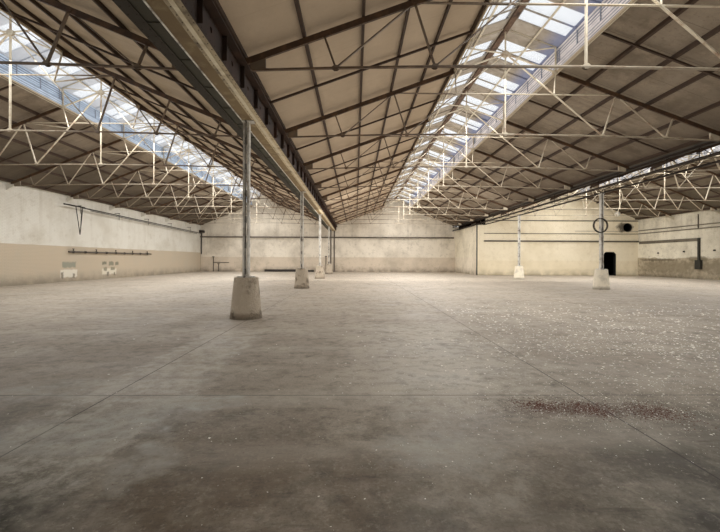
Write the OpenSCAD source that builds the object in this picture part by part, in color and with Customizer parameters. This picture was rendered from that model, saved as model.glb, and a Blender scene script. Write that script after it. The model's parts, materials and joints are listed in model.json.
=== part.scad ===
// A single-storey factory hall of three aisles, at half its real size.
// X runs across the aisles, Y along the ridges, Z up. The origin is under the middle of the hall.
// The hall is empty. Steel trusses on lattice columns carry three pitched roofs with lanterns.

/* [Plan] */
// Distance between neighbouring ridges
aisle_w = 7500; // [7000:50:8200]
// Distance between trusses
truss_bay = 2150; // [1800:10:2500]
// Truss bays from end wall to end wall
truss_bays = 12; // [8:1:14]
// Truss bays taken by the end room of the right aisle
room_bays = 2; // [1:1:3]
// Distance between the columns of a row
column_bay = 5050; // [4200:50:5600]
// Distance from the back wall to the first columns
column_end = 3250; // [2800:50:3800]
// Width of a valley, from heel to heel
valley_w = 495; // [440:5:560]
// Distance of a valley's middle from the line halfway between ridges
valley_shift = 118; // [0:2:160]

/* [Walls and floor] */
// Thickness of the floor slab
floor_t = 100; // [60:5:200]
// Thickness of every wall
wall_t = 200; // [150:5:300]
// Width of a doorway
door_w = 610; // [450:10:800]
// Height of a doorway
door_h = 1130; // [950:10:1300]
// Cut corner at the top of a doorway
door_cut = 110; // [40:5:180]
// Distance from the right wall to the middle of the doorways
door_in = 1360; // [1000:5:2500]
// Radius of the round hole in the cross wall
flue_r = 210; // [120:5:240]
// Height of the round hole above the floor
flue_up = 2300; // [2000:10:2360]
// Distance from the right wall to the middle of the round hole
flue_in = 500; // [300:10:900]

/* [Columns] */
// Width of a plinth at the floor
plinth_foot = 385; // [340:5:440]
// Width of a plinth at its top
plinth_top = 286; // [260:2:330]
// Height of a plinth
plinth_h = 495; // [350:5:650]
// Width of a column across the hall
column_w = 74; // [64:2:110]
// Depth of a column along the hall
column_d = 72; // [60:2:110]
// Steel thickness of the column channels
channel_t = 6; // [4:1:10]
// Flange width of the column channels
channel_flange = 25; // [18:1:30]
// Height of a batten plate
batten_h = 70; // [50:5:110]
// Distance between batten plates
batten_gap = 318; // [250:2:450]

// Radius of the ring on a right column
ring_r = 180; // [120:5:220]
// Height of the ring's middle above the floor
ring_up = 1590; // [1400:10:1700]

/* [Valleys] */
// Height of the girder undersides above the floor
girder_under = 2395; // [2300:5:2430]
// Depth of the valley girders
girder_d = 225; // [180:5:240]
// Width of the lower flanges of the plate girders
flange_w = 98; // [80:2:120]
// Width of the chords of the lattice girders
chord_w = 64; // [50:2:90]
// Drop of the outer lattice girder below the inner one
far_drop = 65; // [0:5:90]
// Thickness of the girder plates
plate_t = 10; // [6:1:14]
// Stiffeners in each truss bay
stiffeners = 4; // [2:1:6]
// Radius of the holes in the web over the casing
web_hole_r = 24; // [12:1:36]
// Width of the casing over the columns of the left row
casing_w = 130; // [100:5:150]
// Height of the casing
casing_h = 70; // [40:2:75]
// Depth of the gutter trough in the left valley
trough_d = 60; // [45:5:90]
// Depth of the gutter tray in the right valley
tray_d = 34; // [24:2:36]

/* [Trusses] */
// Pitch of the middle roof
centre_pitch = 20; // [16:0.2:24]
// Pitch of the outer roofs
side_pitch = 22.2; // [16:0.2:24]
// Depth of the rafters
rafter_d = 60; // [50:2:90]
// Drop of the tie's ends below the heels
tie_drop = 78; // [60:2:110]
// Camber of the tie, from its ends to its middle
camber = 72; // [0:4:90]
// Depth of the tie
tie_d = 18; // [14:1:30]
// Depth of the struts
strut_d = 17; // [13:1:26]
// Depth of the diagonals
diag_d = 12; // [9:1:20]
// Depth of the light members
rod_d = 9; // [7:1:14]
// Thickness of a truss
truss_t = 28; // [20:2:40]
// Length of the plate between tie and rafter at a heel
heel_plate = 150; // [90:10:220]

/* [Roofs] */
// Evenly spaced purlins on each slope, above one midway and one at the heel
upper_purlins = 4; // [3:1:4]
// Distance between the evenly spaced purlins
purlin_gap = 466; // [420:2:540]
// Depth of a purlin
purlin_d = 44; // [30:2:80]
// Width of a purlin
purlin_w = 30; // [24:2:50]
// Thickness of the roof deck
deck_t = 34; // [24:2:60]
// Overhang of the roofs past the outer walls
eaves_out = 110; // [60:5:200]

/* [Lanterns] */
// Half the width of a lantern
lantern_half = 800; // [600:10:1000]
// Drop of the curb boards below the louvres
curb_h = 112; // [60:2:130]
// Thickness of the curb boards
board_t = 18; // [12:1:24]
// Depth of the louvre frames
curb_t = 40; // [30:2:60]
// Height of the louvres
louvre_h = 260; // [180:5:320]
// Slats in a louvre
slats = 6; // [3:1:8]
// Thickness of the lantern sheets
sheet_t = 16; // [10:1:24]
// Overhang of the lantern roofs
lantern_out = 60; // [30:5:120]
// Lantern sheets in each truss bay, every other one clear
bay_sheets = 4; // [2:2:6]

/* [Fittings] */
// Radius of the pipe on the back wall
back_pipe_r = 38; // [20:1:50]
// Height of the pipe on the back wall
back_pipe_up = 2000; // [1800:10:2200]
// Radius of the low pipe on the left wall
left_pipe_r = 26; // [15:1:40]
// Height of the low pipe on the left wall
left_pipe_up = 925; // [700:5:1200]
// Radius of the upper pipe on the cross wall
thin_pipe_r = 14; // [8:1:24]
// Radius of the lower pipe on the cross wall
thick_pipe_r = 34; // [20:1:45]
// Height of the upper pipe on the cross wall
thin_pipe_up = 1990; // [1900:10:2060]
// Height of the lower pipe on the cross wall
thick_pipe_up = 1630; // [1400:10:1750]
// Distance between the brackets of the pipes
bracket_gap = 1300; // [800:50:2000]
// Height of the lower rail on the right wall
rail_up = 1995; // [1800:5:2060]
// Distance from the lower rail to the upper one
rail_gap = 145; // [100:5:200]
// Height of the cable tray on the right wall
tray_up = 1565; // [1400:5:1700]
// Distance from the tray's near end to the cross wall
tray_run = 3410; // [2000:10:6000]
// Width of the duct on the right wall
duct_w = 75; // [60:5:200]

/* [Hidden] */

brick = "antiquewhite";
steel = "burlywood";
dark_steel = "saddlebrown";
board = "tan";
dark = "dimgray";

fit = 0.3;
hall_w = 3 * aisle_w;
hall_l = truss_bays * truss_bay;
half_w = hall_w / 2;
half_l = hall_l / 2;
valley_x = aisle_w / 2 - valley_shift;
centre_heel = valley_x - valley_w / 2;
side_heel = aisle_w - valley_x - valley_w / 2;
girder_z = floor_t + girder_under;
girder_top = girder_z + girder_d;
heel_z = girder_top + rafter_d / 2;
tie_z = heel_z - tie_drop;
far_top = girder_top - far_drop;
cross_y = half_l - room_bays * truss_bay;
wall_top = girder_top - 25;

// Heights over a ridge that is heel away from its heels, at the distance d from the ridge
function pitch_of(heel) = heel == centre_heel ? centre_pitch : side_pitch;
function run(heel) = tan(pitch_of(heel));
function on_pitch(heel, t) = t / cos(pitch_of(heel));
function apex_z(heel) = heel_z + heel * run(heel);
function slope_z(heel, d, up) = apex_z(heel) - d * run(heel) + on_pitch(heel, up);
function deck_z(heel, d) = slope_z(heel, d, rafter_d / 2 + purlin_d + 2 * fit);
function louvre_z(heel) = deck_z(heel, lantern_half) + on_pitch(heel, deck_t) + fit;
function eave_z(heel) = louvre_z(heel) + louvre_h;
function lantern_z(heel, d) = eave_z(heel) + (lantern_half + curb_t - d) * run(heel) + fit;

// The slope edges: at a valley the deck stops over the gutter, at a wall it runs past
gutter_half = 150;
valley_edge = valley_x - gutter_half;
side_valley_edge = aisle_w - valley_x - gutter_half;
outer_edge = aisle_w / 2 + wall_t + eaves_out;
verge = 60;
roof_end = half_l + wall_t + verge;
trough_t = 6;
trough_low = girder_top + trough_t - trough_d;
tray_low = deck_z(centre_heel, valley_edge);
chord_out = valley_w / 2 + chord_w / 2;
heel_gap = 60;
sheet_w = truss_bay / bay_sheets;

// Truss lines, counted from the back wall
truss_lines = [for (n = [1 : truss_bays - 1]) half_l - n * truss_bay];
cap_t = 12;
column_lines = [for (y = half_l - column_end; y > -half_l + plinth_foot; y = y - column_bay) y];
right_column_lines = [for (y = column_lines) if (y < cross_y - plinth_foot) y];
left_row_x = valley_x - 15;
right_row_x = valley_x + valley_w / 2;

// A solid from a profile drawn across the hall, reaching from y0 to y1
module along(y0, y1) {
    translate([0, y1, 0]) rotate([90, 0, 0]) linear_extrude(height = y1 - y0) children();
}

// A box from its lowest to its highest corner
module block(a, b) {
    translate(a) cube(b - a);
}

// A flat bar of depth w from a to b, drawn in the plane of a truss
module bar(a, b, w) {
    translate(a) rotate(atan2(b.y - a.y, b.x - a.x)) translate([0, -w / 2]) square([norm(b - a), w]);
}

// The slab runs out under the front doorway
module floor_slab() {
    color("darkgray") {
        block([-half_w, -half_l, 0], [half_w, half_l, floor_t]);
        block([door_left, -half_l - wall_t, 0], [door_right, -half_l, floor_t]);
    }
}

// Profile of an outer long wall, with its top cut to the slope of the roof
module side_wall(side) {
    in = aisle_w / 2;
    out = in + wall_t;
    corbel_in = side_heel - heel_gap;
    corbel_h = 160;
    lines = [for (y = truss_lines) if (side < 0 || abs(y - cross_y) > wall_t) y];
    color(brick) translate([side * aisle_w, 0, 0]) {
        along(-half_l, half_l) polygon([
            [side * in, 0], [side * out, 0],
            [side * out, deck_z(side_heel, out) - fit], [side * in, deck_z(side_heel, in) - fit]]);
        for (y = lines)
            along(y - truss_t, y + truss_t) polygon([
                [side * in, girder_top - corbel_h], [side * in, girder_top],
                [side * corbel_in, girder_top], [side * corbel_in, girder_top - corbel_h / 3]]);
    }
}

module left_wall() {
    side_wall(-1);
}

module right_wall() {
    side_wall(1);
}

// A cross wall of the hall from x0 to x1, up to the girders
module end_slab(y0, x0, x1) {
    block([x0, y0, 0], [x1, y0 + wall_t, wall_top]);
}

module door_profile() {
    x = half_w - door_in;
    z = floor_t + door_h;
    w = door_w / 2;
    polygon([[x - w, floor_t], [x + w, floor_t], [x + w, z - door_cut],
        [x + w - door_cut, z], [x - w + door_cut, z], [x - w, z - door_cut]]);
}

door_left = half_w - door_in - door_w / 2;
door_right = half_w - door_in + door_w / 2;

// Outline of one gable from the height base up, with or without a lantern.
// Beside a lantern it leaves room for the deck, which runs out over the wall.
module gable(heel, left_edge, right_edge, lantern, base = wall_top) {
    under = deck_z(heel, 0) - fit;
    over = under + on_pitch(heel, deck_t) + 2 * fit;
    rise = run(heel);
    edge = lantern_half - fit;
    out = lantern_half + curb_t;
    eave = lantern_z(heel, out) - fit;
    top = lantern_z(heel, 0) - fit;
    polygon(concat(
        [[-left_edge, base], [-left_edge, under - left_edge * rise]],
        lantern ? [[-edge, under - edge * rise], [-edge, over - edge * rise], [-out, over - out * rise],
            [-out, eave], [0, top], [out, eave],
            [out, over - out * rise], [edge, over - edge * rise], [edge, under - edge * rise]]
            : [[0, under]],
        [[right_edge, under - right_edge * rise], [right_edge, base]]));
}

module end_gables(y0, right_lantern) {
    outer = aisle_w / 2 + wall_t;
    color(brick) along(y0, y0 + wall_t) {
        translate([-aisle_w, 0]) gable(side_heel, outer, aisle_w - valley_x, true);
        gable(centre_heel, valley_x, valley_x, true);
        translate([aisle_w, 0]) gable(side_heel, aisle_w - valley_x, outer, right_lantern);
    }
}

module back_wall() {
    color(brick) end_slab(half_l, -half_w - wall_t, half_w + wall_t);
}

module back_gables() {
    end_gables(half_l, false);
}

// The front wall stands in two pieces, one each side of its doorway
module front_wall() {
    color(brick) {
        end_slab(-half_l - wall_t, -half_w - wall_t, door_left);
        end_slab(-half_l - wall_t, door_right, half_w + wall_t);
    }
}

module front_wall_over() {
    color(brick) difference() {
        block([door_left, -half_l - wall_t, floor_t + door_h - door_cut], [door_right, -half_l, wall_top]);
        along(-half_l - 2 * wall_t, -half_l + wall_t) door_profile();
    }
}

module front_gables() {
    end_gables(-half_l - wall_t, true);
}

// The cross wall shuts the end room off from the right aisle
module cross_wall() {
    color(brick) difference() {
        union() {
            block([valley_x - wall_t / 2, cross_y, floor_t], [door_left, cross_y + wall_t, girder_z]);
            block([valley_x + chord_out + fit, cross_y, floor_t], [door_left, cross_y + wall_t, girder_top]);
            block([door_right, cross_y, floor_t], [half_w, cross_y + wall_t, girder_top]);
        }
        translate([half_w - flue_in, cross_y - wall_t, floor_t + flue_up]) rotate([-90, 0, 0])
            cylinder(h = 3 * wall_t, r = flue_r, $fn = 48);
    }
}

module cross_wall_over() {
    color(brick) {
        difference() {
            block([door_left, cross_y, floor_t + door_h - door_cut],
                [door_right, cross_y + wall_t, girder_top]);
            along(cross_y - wall_t, cross_y + 2 * wall_t) door_profile();
        }
    }
}

// Above the girders a gable on the cross wall shuts the roof space and the end of the lantern
module cross_gable() {
    color(brick) along(cross_y, cross_y + wall_t) translate([aisle_w, 0])
        gable(side_heel, side_heel - chord_w / 2 - fit, aisle_w / 2, true, girder_top);
}

module room_side_wall() {
    color(brick) block([valley_x - wall_t / 2, cross_y + wall_t, floor_t],
        [valley_x + wall_t / 2, half_l, girder_z]);
}

module plinth() {
    cylinder(h = plinth_h, d1 = plinth_foot, d2 = plinth_top, $fn = 36);
}

module plinths() {
    color("gray") {
        for (y = column_lines) translate([-left_row_x, y, floor_t]) plinth();
        for (y = right_column_lines) translate([right_row_x, y, floor_t]) plinth();
    }
}

module channel() {
    polygon([[0, -column_d / 2], [channel_flange, -column_d / 2], [channel_flange, -column_d / 2 + channel_t],
        [channel_t, -column_d / 2 + channel_t], [channel_t, column_d / 2 - channel_t],
        [channel_flange, column_d / 2 - channel_t], [channel_flange, column_d / 2], [0, column_d / 2]]);
}

// A column of two channels laced by batten plates, with a cap plate on its head
module column(head_z, cap_left, cap_right) {
    foot_z = floor_t + plinth_h;
    foot_t = 14;
    battens = floor((head_z - foot_z - 2 * batten_h) / batten_gap);
    block([-90, -90, foot_z], [90, 90, foot_z + foot_t]);
    translate([0, 0, foot_z + foot_t]) linear_extrude(height = head_z - foot_z - foot_t) {
        translate([-column_w / 2, 0]) channel();
        mirror([1, 0]) translate([-column_w / 2, 0]) channel();
    }
    for (n = [0 : battens], side = [-1, 1])
        translate([0, side * (column_d / 2 + 2), foot_z + batten_h + n * batten_gap])
            cube([column_w, 6, batten_h], center = true);
    block([cap_left, -column_d / 2 - 20, head_z], [cap_right, column_d / 2 + 20, head_z + cap_t]);
}

// The left caps carry the casing and the inner plate girder
module left_columns() {
    color(steel) for (y = column_lines)
        translate([-left_row_x, y, 0]) column(girder_z - cap_t, -52, 92);
}

// The right caps carry the outer lattice girder
module right_columns() {
    cap = column_w / 2 + 15;
    color(steel) for (y = right_column_lines)
        translate([right_row_x, y, 0]) column(girder_z - cap_t, -cap, cap);
}

// A steel ring on a peg in front of a right column
module column_ring() {
    r = 9;
    off = 70;
    peg_x = 26;
    face = right_column_lines[1] - column_d / 2 - fit;
    z = floor_t + ring_up;
    peg_z = z + sqrt(ring_r * ring_r - (off - peg_x) * (off - peg_x));
    color(dark) {
        translate([right_row_x - off, face - 30, z]) rotate([90, 0, 0])
            rotate_extrude($fn = 36) translate([ring_r, 0]) circle(r = r, $fn = 8);
        block([right_row_x - peg_x - 8, face - 44, peg_z - 8], [right_row_x - peg_x + 8, face, peg_z + 8]);
    }
}

// The webs of the plate girders, measured from the middle of the left valley
outer_web = -194;
inner_web = 205;
// The lower flange of the inner girder and the casing beside it
inner_low = inner_web + plate_t / 2 - 120;
casing_left = inner_low - fit - casing_w;

// Plate girder round its web: its flanges reach from low[0] to low[1] and from top[0] to top[1]
module plate_girder(low, top, stiff) {
    t = plate_t;
    d = girder_d;
    step = truss_bay / stiffeners;
    along(-half_l, half_l) {
        translate([low[0], 0]) square([low[1] - low[0], t]);
        translate([-t / 2, 0]) square([t, d]);
        translate([top[0], d - t]) square([top[1] - top[0], t]);
    }
    for (n = [1 : truss_bays * stiffeners - 1])
        translate([stiff[0], half_l - n * step - 3, t / 2]) cube([stiff[1] - stiff[0], 6, d - t]);
}

// The trusses stand on the upper flanges. The inner girder has a hole in each panel of its web.
// Diaphragms over the columns hold the outer girder, and a ribbed soffit shuts the gap beside the casing.
module left_valley_girders() {
    step = truss_bay / stiffeners;
    w = flange_w / 2;
    soffit_end = casing_left - fit;
    color(dark_steel) translate([-valley_x, 0, girder_z]) {
        translate([outer_web, 0, 0]) plate_girder([-w, w], [-90, w], [8 - w, w - 8]);
        difference() {
            translate([inner_web, 0, 0])
                plate_girder([inner_low - inner_web, plate_t / 2], [-w, 82], [8 - w, 44]);
            for (n = [0.5 : 1 : truss_bays * stiffeners])
                translate([inner_web, half_l - n * step, girder_d / 2]) rotate([0, 90, 0])
                    cylinder(h = 2 * plate_t, r = web_hole_r, center = true, $fn = 20);
        }
        for (y = column_lines)
            block([outer_web, y - plate_t / 2, casing_h + fit],
                [inner_web, y + plate_t / 2, trough_low - girder_z - fit]);
        block([outer_web + w - 10, -half_l, plate_t - 1], [soffit_end, half_l, plate_t + 5]);
        for (n = [1 : truss_bays * stiffeners - 1])
            block([outer_web + w - 2, half_l - n * step - 6, 2],
                [soffit_end, half_l - n * step + 6, plate_t]);
    }
}

// Lattice girder: two chords with a row of crossing lacing bars between them
chord_d = 34;

module lattice_girder(depth) {
    panels = truss_bays * 2;
    step = hall_l / panels;
    low = chord_d / 2;
    high = depth - chord_d / 2;
    w = chord_w / 2;
    for (top = [0, 1]) translate([0, 0, top * depth]) mirror([0, 0, top]) along(-half_l, half_l)
        polygon([[-w, 0], [w, 0], [w, 8], [5, 8], [5, chord_d], [-5, chord_d], [-5, 8], [-w, 8]]);
    rotate([90, 0, 90]) translate([0, 0, -5]) linear_extrude(height = 10) intersection() {
        translate([-half_l, 0]) square([hall_l, depth]);
        for (n = [0 : panels - 1]) {
            y = -half_l + n * step;
            bar([y, n % 2 == 0 ? low : high], [y + step, n % 2 == 0 ? high : low], rod_d);
        }
    }
}

// Profile of a frame that ties both lattice girders and carries the gutter tray on its wings
module bearer() {
    w = valley_w / 2;
    top = tray_low - girder_z - fit;
    bar([-w, chord_d / 2], [w, chord_d / 2], rod_d);
    bar([0, chord_d / 2], [0, top], rod_d);
    bar([-w, girder_d - chord_d / 2], [0, top - rod_d], rod_d);
    bar([w, girder_d - far_drop - chord_d / 2], [0, top - rod_d], rod_d);
    translate([-w / 4, top - 8]) square([w / 2, 8]);
}

module right_valley_girders() {
    color(dark_steel) translate([valley_x, 0, girder_z]) {
        translate([-valley_w / 2, 0, 0]) lattice_girder(girder_d);
        translate([valley_w / 2, 0, 0]) lattice_girder(girder_d - far_drop);
        for (n = [0 : truss_bays - 1], third = [1, 2]) {
            y = half_l - (n + third / 3) * truss_bay;
            along(y - 5, y + 5) bearer();
        }
    }
}

// A closed casing runs over the columns of the left row, beside the inner girder
module valley_casing() {
    x = -valley_x + casing_left;
    color(board) block([x, -half_l, girder_z], [x + casing_w, half_l, girder_z + casing_h]);
}

// The trough hangs by its lips between the upper flanges
module trough() {
    in = 170;
    w = 146;
    t = trough_t;
    top = girder_top + t;
    polygon([[-in, top], [-in, girder_top], [-w, girder_top], [-w, top - trough_d], [w, top - trough_d],
        [w, girder_top], [in, girder_top], [in, top], [w - t, top], [w - t, top - trough_d + t],
        [-w + t, top - trough_d + t], [-w + t, top]]);
}

// A shallow tray between the deck edges
module tray() {
    w = gutter_half - fit;
    t = trough_t;
    polygon([[-w, tray_low], [w, tray_low], [w, tray_low + tray_d], [w - t, tray_low + tray_d],
        [w - t, tray_low + t], [-w + t, tray_low + t], [-w + t, tray_low + tray_d], [-w, tray_low + tray_d]]);
}

module valley_gutters() {
    color(dark) along(-half_l, half_l) {
        translate([-valley_x + (outer_web + inner_web) / 2, 0]) trough();
        translate([valley_x, 0]) tray();
    }
}

// A round plate where bars meet
module knot(p, r) {
    translate(p) circle(r = r, $fn = 12);
}

// Where the struts of a half truss stand, counted from heel to ridge: the foot on the tie and the head on the
// rafter. The wider outer trusses have one more.
centre_struts = [[0.265, 0.23], [0.555, 0.495]];
side_struts = [[0.152, 0.124], [0.395, 0.336], [0.64, 0.565]];

// Half of a truss, from the king post to the heel, as flat bars. It stands on its shoe at the height foot.
// The tie rises towards the middle and ends at a plate beside the girder or corbel.
module half_truss(heel, lantern, foot) {
    rafter = function(u) [heel * (1 - u), heel_z + heel * u * run(heel)];
    tie = function(u) [heel * (1 - u), tie_z + camber * u * (2 - u)];
    struts = heel == centre_heel ? centre_struts : side_struts;
    last = len(struts) - 1;
    plate_in = (heel_gap + fit) / heel;
    plate_out = (heel_gap + fit + heel_plate) / heel;
    feet = concat([plate_in + 12 / heel], [for (s = struts) s[0]], [1]);
    star = rafter(1);
    post_x = lantern_half - board_t - rod_d;
    curb = rafter(1 - post_x / heel);
    mid = (tie(struts[last][0]) + star) / 2;
    top = rafter(struts[last][1]);
    bar([heel, heel_z], lantern ? curb : star, rafter_d);
    bar(curb, star, strut_d);
    for (n = [0 : last + 1]) {
        bar(tie(feet[n]), tie(feet[n + 1]), tie_d);
        knot(tie(feet[n + 1]), 0.8 * tie_d);
    }
    polygon([tie(plate_in), rafter(plate_in), rafter(plate_out), tie(plate_out)]);
    for (s = struts) bar(rafter(s[1]), tie(s[0]), strut_d);
    for (n = [0 : last - 1]) bar(tie(struts[n][0]), rafter(struts[n + 1][1]), diag_d);
    bar(tie(struts[last][0]), star, diag_d);
    bar(mid, curb, rod_d);
    bar(mid, top, rod_d);
    bar(top, [0, top.y], rod_d);
    translate([heel - shoe_w / 2, foot]) square([shoe_w, heel_z - foot]);
    if (lantern) {
        drop = on_pitch(heel, rod_d / 2 + 4) + fit;
        eave = [post_x, lantern_z(heel, post_x) - drop];
        ridge = [0, lantern_z(heel, 0) - drop];
        bar(curb, eave, rod_d + 6);
        bar(eave, ridge, rod_d + 8);
        bar(star, eave, rod_d);
        knot(eave, (rod_d + 8) / 2);
        knot(curb, rafter_d / 2 - 2);
    }
    knot(star, rafter_d / 2);
}

shoe_w = 60;

module truss(heel, lantern, left_foot) {
    half_truss(heel, lantern, girder_top);
    mirror([1, 0]) half_truss(heel, lantern, left_foot);
    bar([0, tie_z + camber], [0, lantern ? lantern_z(heel, 0) - 40 : apex_z(heel)], strut_d);
}

module truss_row(x, heel, lines, lantern = true, left_foot = girder_top) {
    color(steel) translate([x, 0, 0]) for (y = lines)
        along(y - truss_t / 2, y + truss_t / 2) truss(heel, lantern, left_foot);
}

module left_trusses() {
    truss_row(-aisle_w, side_heel, truss_lines);
}

module centre_trusses() {
    truss_row(0, centre_heel, truss_lines);
}

module right_trusses() {
    truss_row(aisle_w, side_heel, [for (y = truss_lines) if (y < cross_y - 1) y], true, far_top);
    truss_row(aisle_w, side_heel, [for (y = truss_lines) if (y > cross_y + 1) y], false, far_top);
}

// A box that lies on the slope, from d0 to d1 measured level from the ridge
module on_slope(heel, d0, d1, up, t) {
    polygon([[d0, slope_z(heel, d0, up)], [d1, slope_z(heel, d1, up)],
        [d1, slope_z(heel, d1, up + t)], [d0, slope_z(heel, d0, up + t)]]);
}

module purlin_set(heel) {
    first = lantern_half + 2;
    last = heel - 20;
    up = rafter_d / 2 + fit;
    upper = [for (n = [0 : upper_purlins - 1]) first + n * purlin_gap];
    for (side = [0, 1], d = concat(upper, [(max(upper) + last) / 2, last]))
        mirror([side, 0, 0]) along(-half_l, half_l)
            on_slope(heel, d, d + purlin_w, up, purlin_d);
}

module left_purlins() {
    color(dark_steel) translate([-aisle_w, 0, 0]) purlin_set(side_heel);
}

module centre_purlins() {
    color(dark_steel) purlin_set(centre_heel);
}

// The right purlins stop at the cross wall on both sides of it
module right_purlins() {
    color(dark_steel) difference() {
        translate([aisle_w, 0, 0]) purlin_set(side_heel);
        block([valley_x, cross_y - fit, wall_top], [half_w, cross_y + wall_t + fit, 3 * wall_top]);
    }
}

module slope(heel, edge) {
    along(-roof_end, roof_end)
        on_slope(heel, lantern_half, edge, rafter_d / 2 + purlin_d + 2 * fit, deck_t);
}

module left_roof() {
    color(board) translate([-aisle_w, 0, 0]) {
        slope(side_heel, side_valley_edge);
        mirror([1, 0, 0]) slope(side_heel, outer_edge);
    }
}

module centre_roof() {
    color(board) {
        slope(centre_heel, valley_edge);
        mirror([1, 0, 0]) slope(centre_heel, valley_edge);
    }
}

module right_roof() {
    color(board) translate([aisle_w, 0, 0]) {
        slope(side_heel, outer_edge);
        mirror([1, 0, 0]) slope(side_heel, side_valley_edge);
    }
}

// Over the end room the right roof runs on to its ridge
module room_roof() {
    d = lantern_half - fit;
    up = rafter_d / 2 + purlin_d + 2 * fit;
    color(board) translate([aisle_w, 0, 0]) along(cross_y + wall_t + fit, roof_end) polygon([
        [-d, slope_z(side_heel, d, up)], [0, slope_z(side_heel, 0, up)], [d, slope_z(side_heel, d, up)],
        [d, slope_z(side_heel, d, up + deck_t)], [0, slope_z(side_heel, 0, up + deck_t)],
        [-d, slope_z(side_heel, d, up + deck_t)]]);
}

// One side of a lantern: sill, mullions, slats, head rail and the curb boards that hang between the trusses
module louvre_side(heel, y0, y1) {
    in = lantern_half;
    out = in + curb_t;
    z0 = louvre_z(heel);
    z1 = eave_z(heel);
    rail = 24;
    face = in - fit - board_t;
    slot = truss_t / 2 + 2;
    bays = round((y1 - y0) / truss_bay);
    step = (y1 - y0) / bays;
    along(y0, y1) {
        polygon([[face, z0], [in, z0], [out, z0 - curb_t * run(heel)], [out, z0 + rail], [face, z0 + rail]]);
        translate([in, z1 - rail]) square([curb_t, rail]);
    }
    for (n = [0 : bays - 1])
        along(y0 + n * step + slot, y0 + (n + 1) * step - slot)
            translate([face, z0 - curb_h]) square([board_t, curb_h + rail / 2]);
    for (n = [0 : bays])
        translate([in + 8, max(y0, min(y1 - 16, y0 + n * step - 8)), z0 + 1])
            cube([curb_t - 16, 16, z1 - z0 - 2]);
    for (n = [0 : slats - 1]) {
        z = z0 + rail + (n + 0.5) * (z1 - z0 - 2 * rail) / slats;
        along(y0, y1) translate([in + curb_t / 2, z]) rotate(-50)
            translate([-curb_t / 2 + 3, -2]) square([curb_t - 6, 4]);
    }
}

module louvres(x, heel, y0, y1) {
    color("lavender") translate([x, 0, 0]) {
        louvre_side(heel, y0, y1);
        mirror([1, 0, 0]) louvre_side(heel, y0, y1);
    }
}

module left_louvres() {
    louvres(-aisle_w, side_heel, -half_l, half_l);
}

module centre_louvres() {
    louvres(0, centre_heel, -half_l, half_l);
}

module right_louvres() {
    louvres(aisle_w, side_heel, -half_l, cross_y);
}

// The lantern roofs: x, heel and the ends of each
lanterns = [
    [-aisle_w, side_heel, -half_l - wall_t - verge, half_l + wall_t + verge],
    [0, centre_heel, -half_l - wall_t - verge, half_l + wall_t + verge],
    [aisle_w, side_heel, -half_l - wall_t - verge, cross_y + wall_t]];

module lantern_slope(heel, d0, d1, up, t) {
    s = on_pitch(heel, up);
    e = on_pitch(heel, up + t);
    polygon([[d0, lantern_z(heel, d0) + s], [d1, lantern_z(heel, d1) + s],
        [d1, lantern_z(heel, d1) + e], [d0, lantern_z(heel, d0) + e]]);
}

// Opaque sheets, with an opening for each clear sheet between two of them
module lantern_boards() {
    edge = lantern_half + curb_t + lantern_out;
    color("silver") for (l = lanterns, side = [0, 1]) translate([l[0], 0, 0]) mirror([side, 0, 0])
        difference() {
            along(l[2], l[3]) lantern_slope(l[1], 30, edge, 0, sheet_t);
            for (n = [0 : floor((half_l - 2 * sheet_w + l[3]) / (2 * sheet_w))])
                block([70, -half_l + sheet_w / 2 + 2 * n * sheet_w, eave_z(l[1]) - 200],
                    [lantern_half - 20, -half_l + 1.5 * sheet_w + 2 * n * sheet_w, eave_z(l[1]) + 800]);
        }
}

module lantern_glass() {
    color("lightcyan") for (l = lanterns, side = [0, 1]) translate([l[0], 0, 0]) mirror([side, 0, 0])
        along(l[2] + verge, l[3] - verge)
            lantern_slope(l[1], 50, lantern_half, sheet_t + fit, 6);
}

module lantern_ridges() {
    w = 90;
    up = sheet_t + 6 + 2 * fit;
    color("rosybrown") for (l = lanterns) translate([l[0], 0, 0]) along(l[2], l[3]) {
        z = lantern_z(l[1], 0) + on_pitch(l[1], up);
        low = z - w * run(l[1]);
        polygon([[-w, low], [0, z], [w, low], [w, low + 14], [0, z + 14], [-w, low + 14]]);
    }
}

// Half-round gutters along the outer eaves, with their rims against wall and deck
gutter_r = eaves_out / 2 - 5;
gutter_x = half_w + wall_t + gutter_r + fit;
gutter_z = deck_z(side_heel, aisle_w / 2 + wall_t + 2 * gutter_r + fit) - fit;

module eaves_gutters() {
    color(dark) for (side = [-1, 1]) translate([side * gutter_x, 0, gutter_z]) rotate([90, 0, 0])
        linear_extrude(height = 2 * roof_end, center = true) difference() {
            circle(r = gutter_r, $fn = 32);
            circle(r = gutter_r - 6, $fn = 32);
            translate([-2 * gutter_r, 0]) square(4 * gutter_r);
        }
}

module outer_downpipes() {
    r = 0.8 * gutter_r;
    color(dark) for (side = [-1, 1], n = [1, 4, 8, 11])
        translate([side * (half_w + wall_t + r + fit), half_l - n * truss_bay, 0])
            cylinder(h = gutter_z - gutter_r - fit, r = r, $fn = 24);
}

// Two pipes at the back wall drain the left valley through soffit and casing
drain_r = 32;

module valley_downpipes() {
    color(dark) for (p = [[-92, girder_z + plate_t - 1], [110, girder_z]])
        translate([-valley_x + p.x, half_l - drain_r - fit, floor_t])
            cylinder(h = p.y - floor_t - fit, r = drain_r, $fn = 24);
}

module back_wall_pipe() {
    y = half_l - 2 * drain_r - 2 * fit - back_pipe_r;
    z = floor_t + back_pipe_up;
    x1 = valley_x - wall_t;
    color(dark) {
        translate([-half_w, y, z]) rotate([0, 90, 0])
            cylinder(h = half_w + x1, r = back_pipe_r, $fn = 24);
        for (x = [-half_w + bracket_gap / 2 : bracket_gap : x1])
            block([x - 15, y, z - 15], [x + 15, half_l, z + 15]);
    }
}

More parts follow.
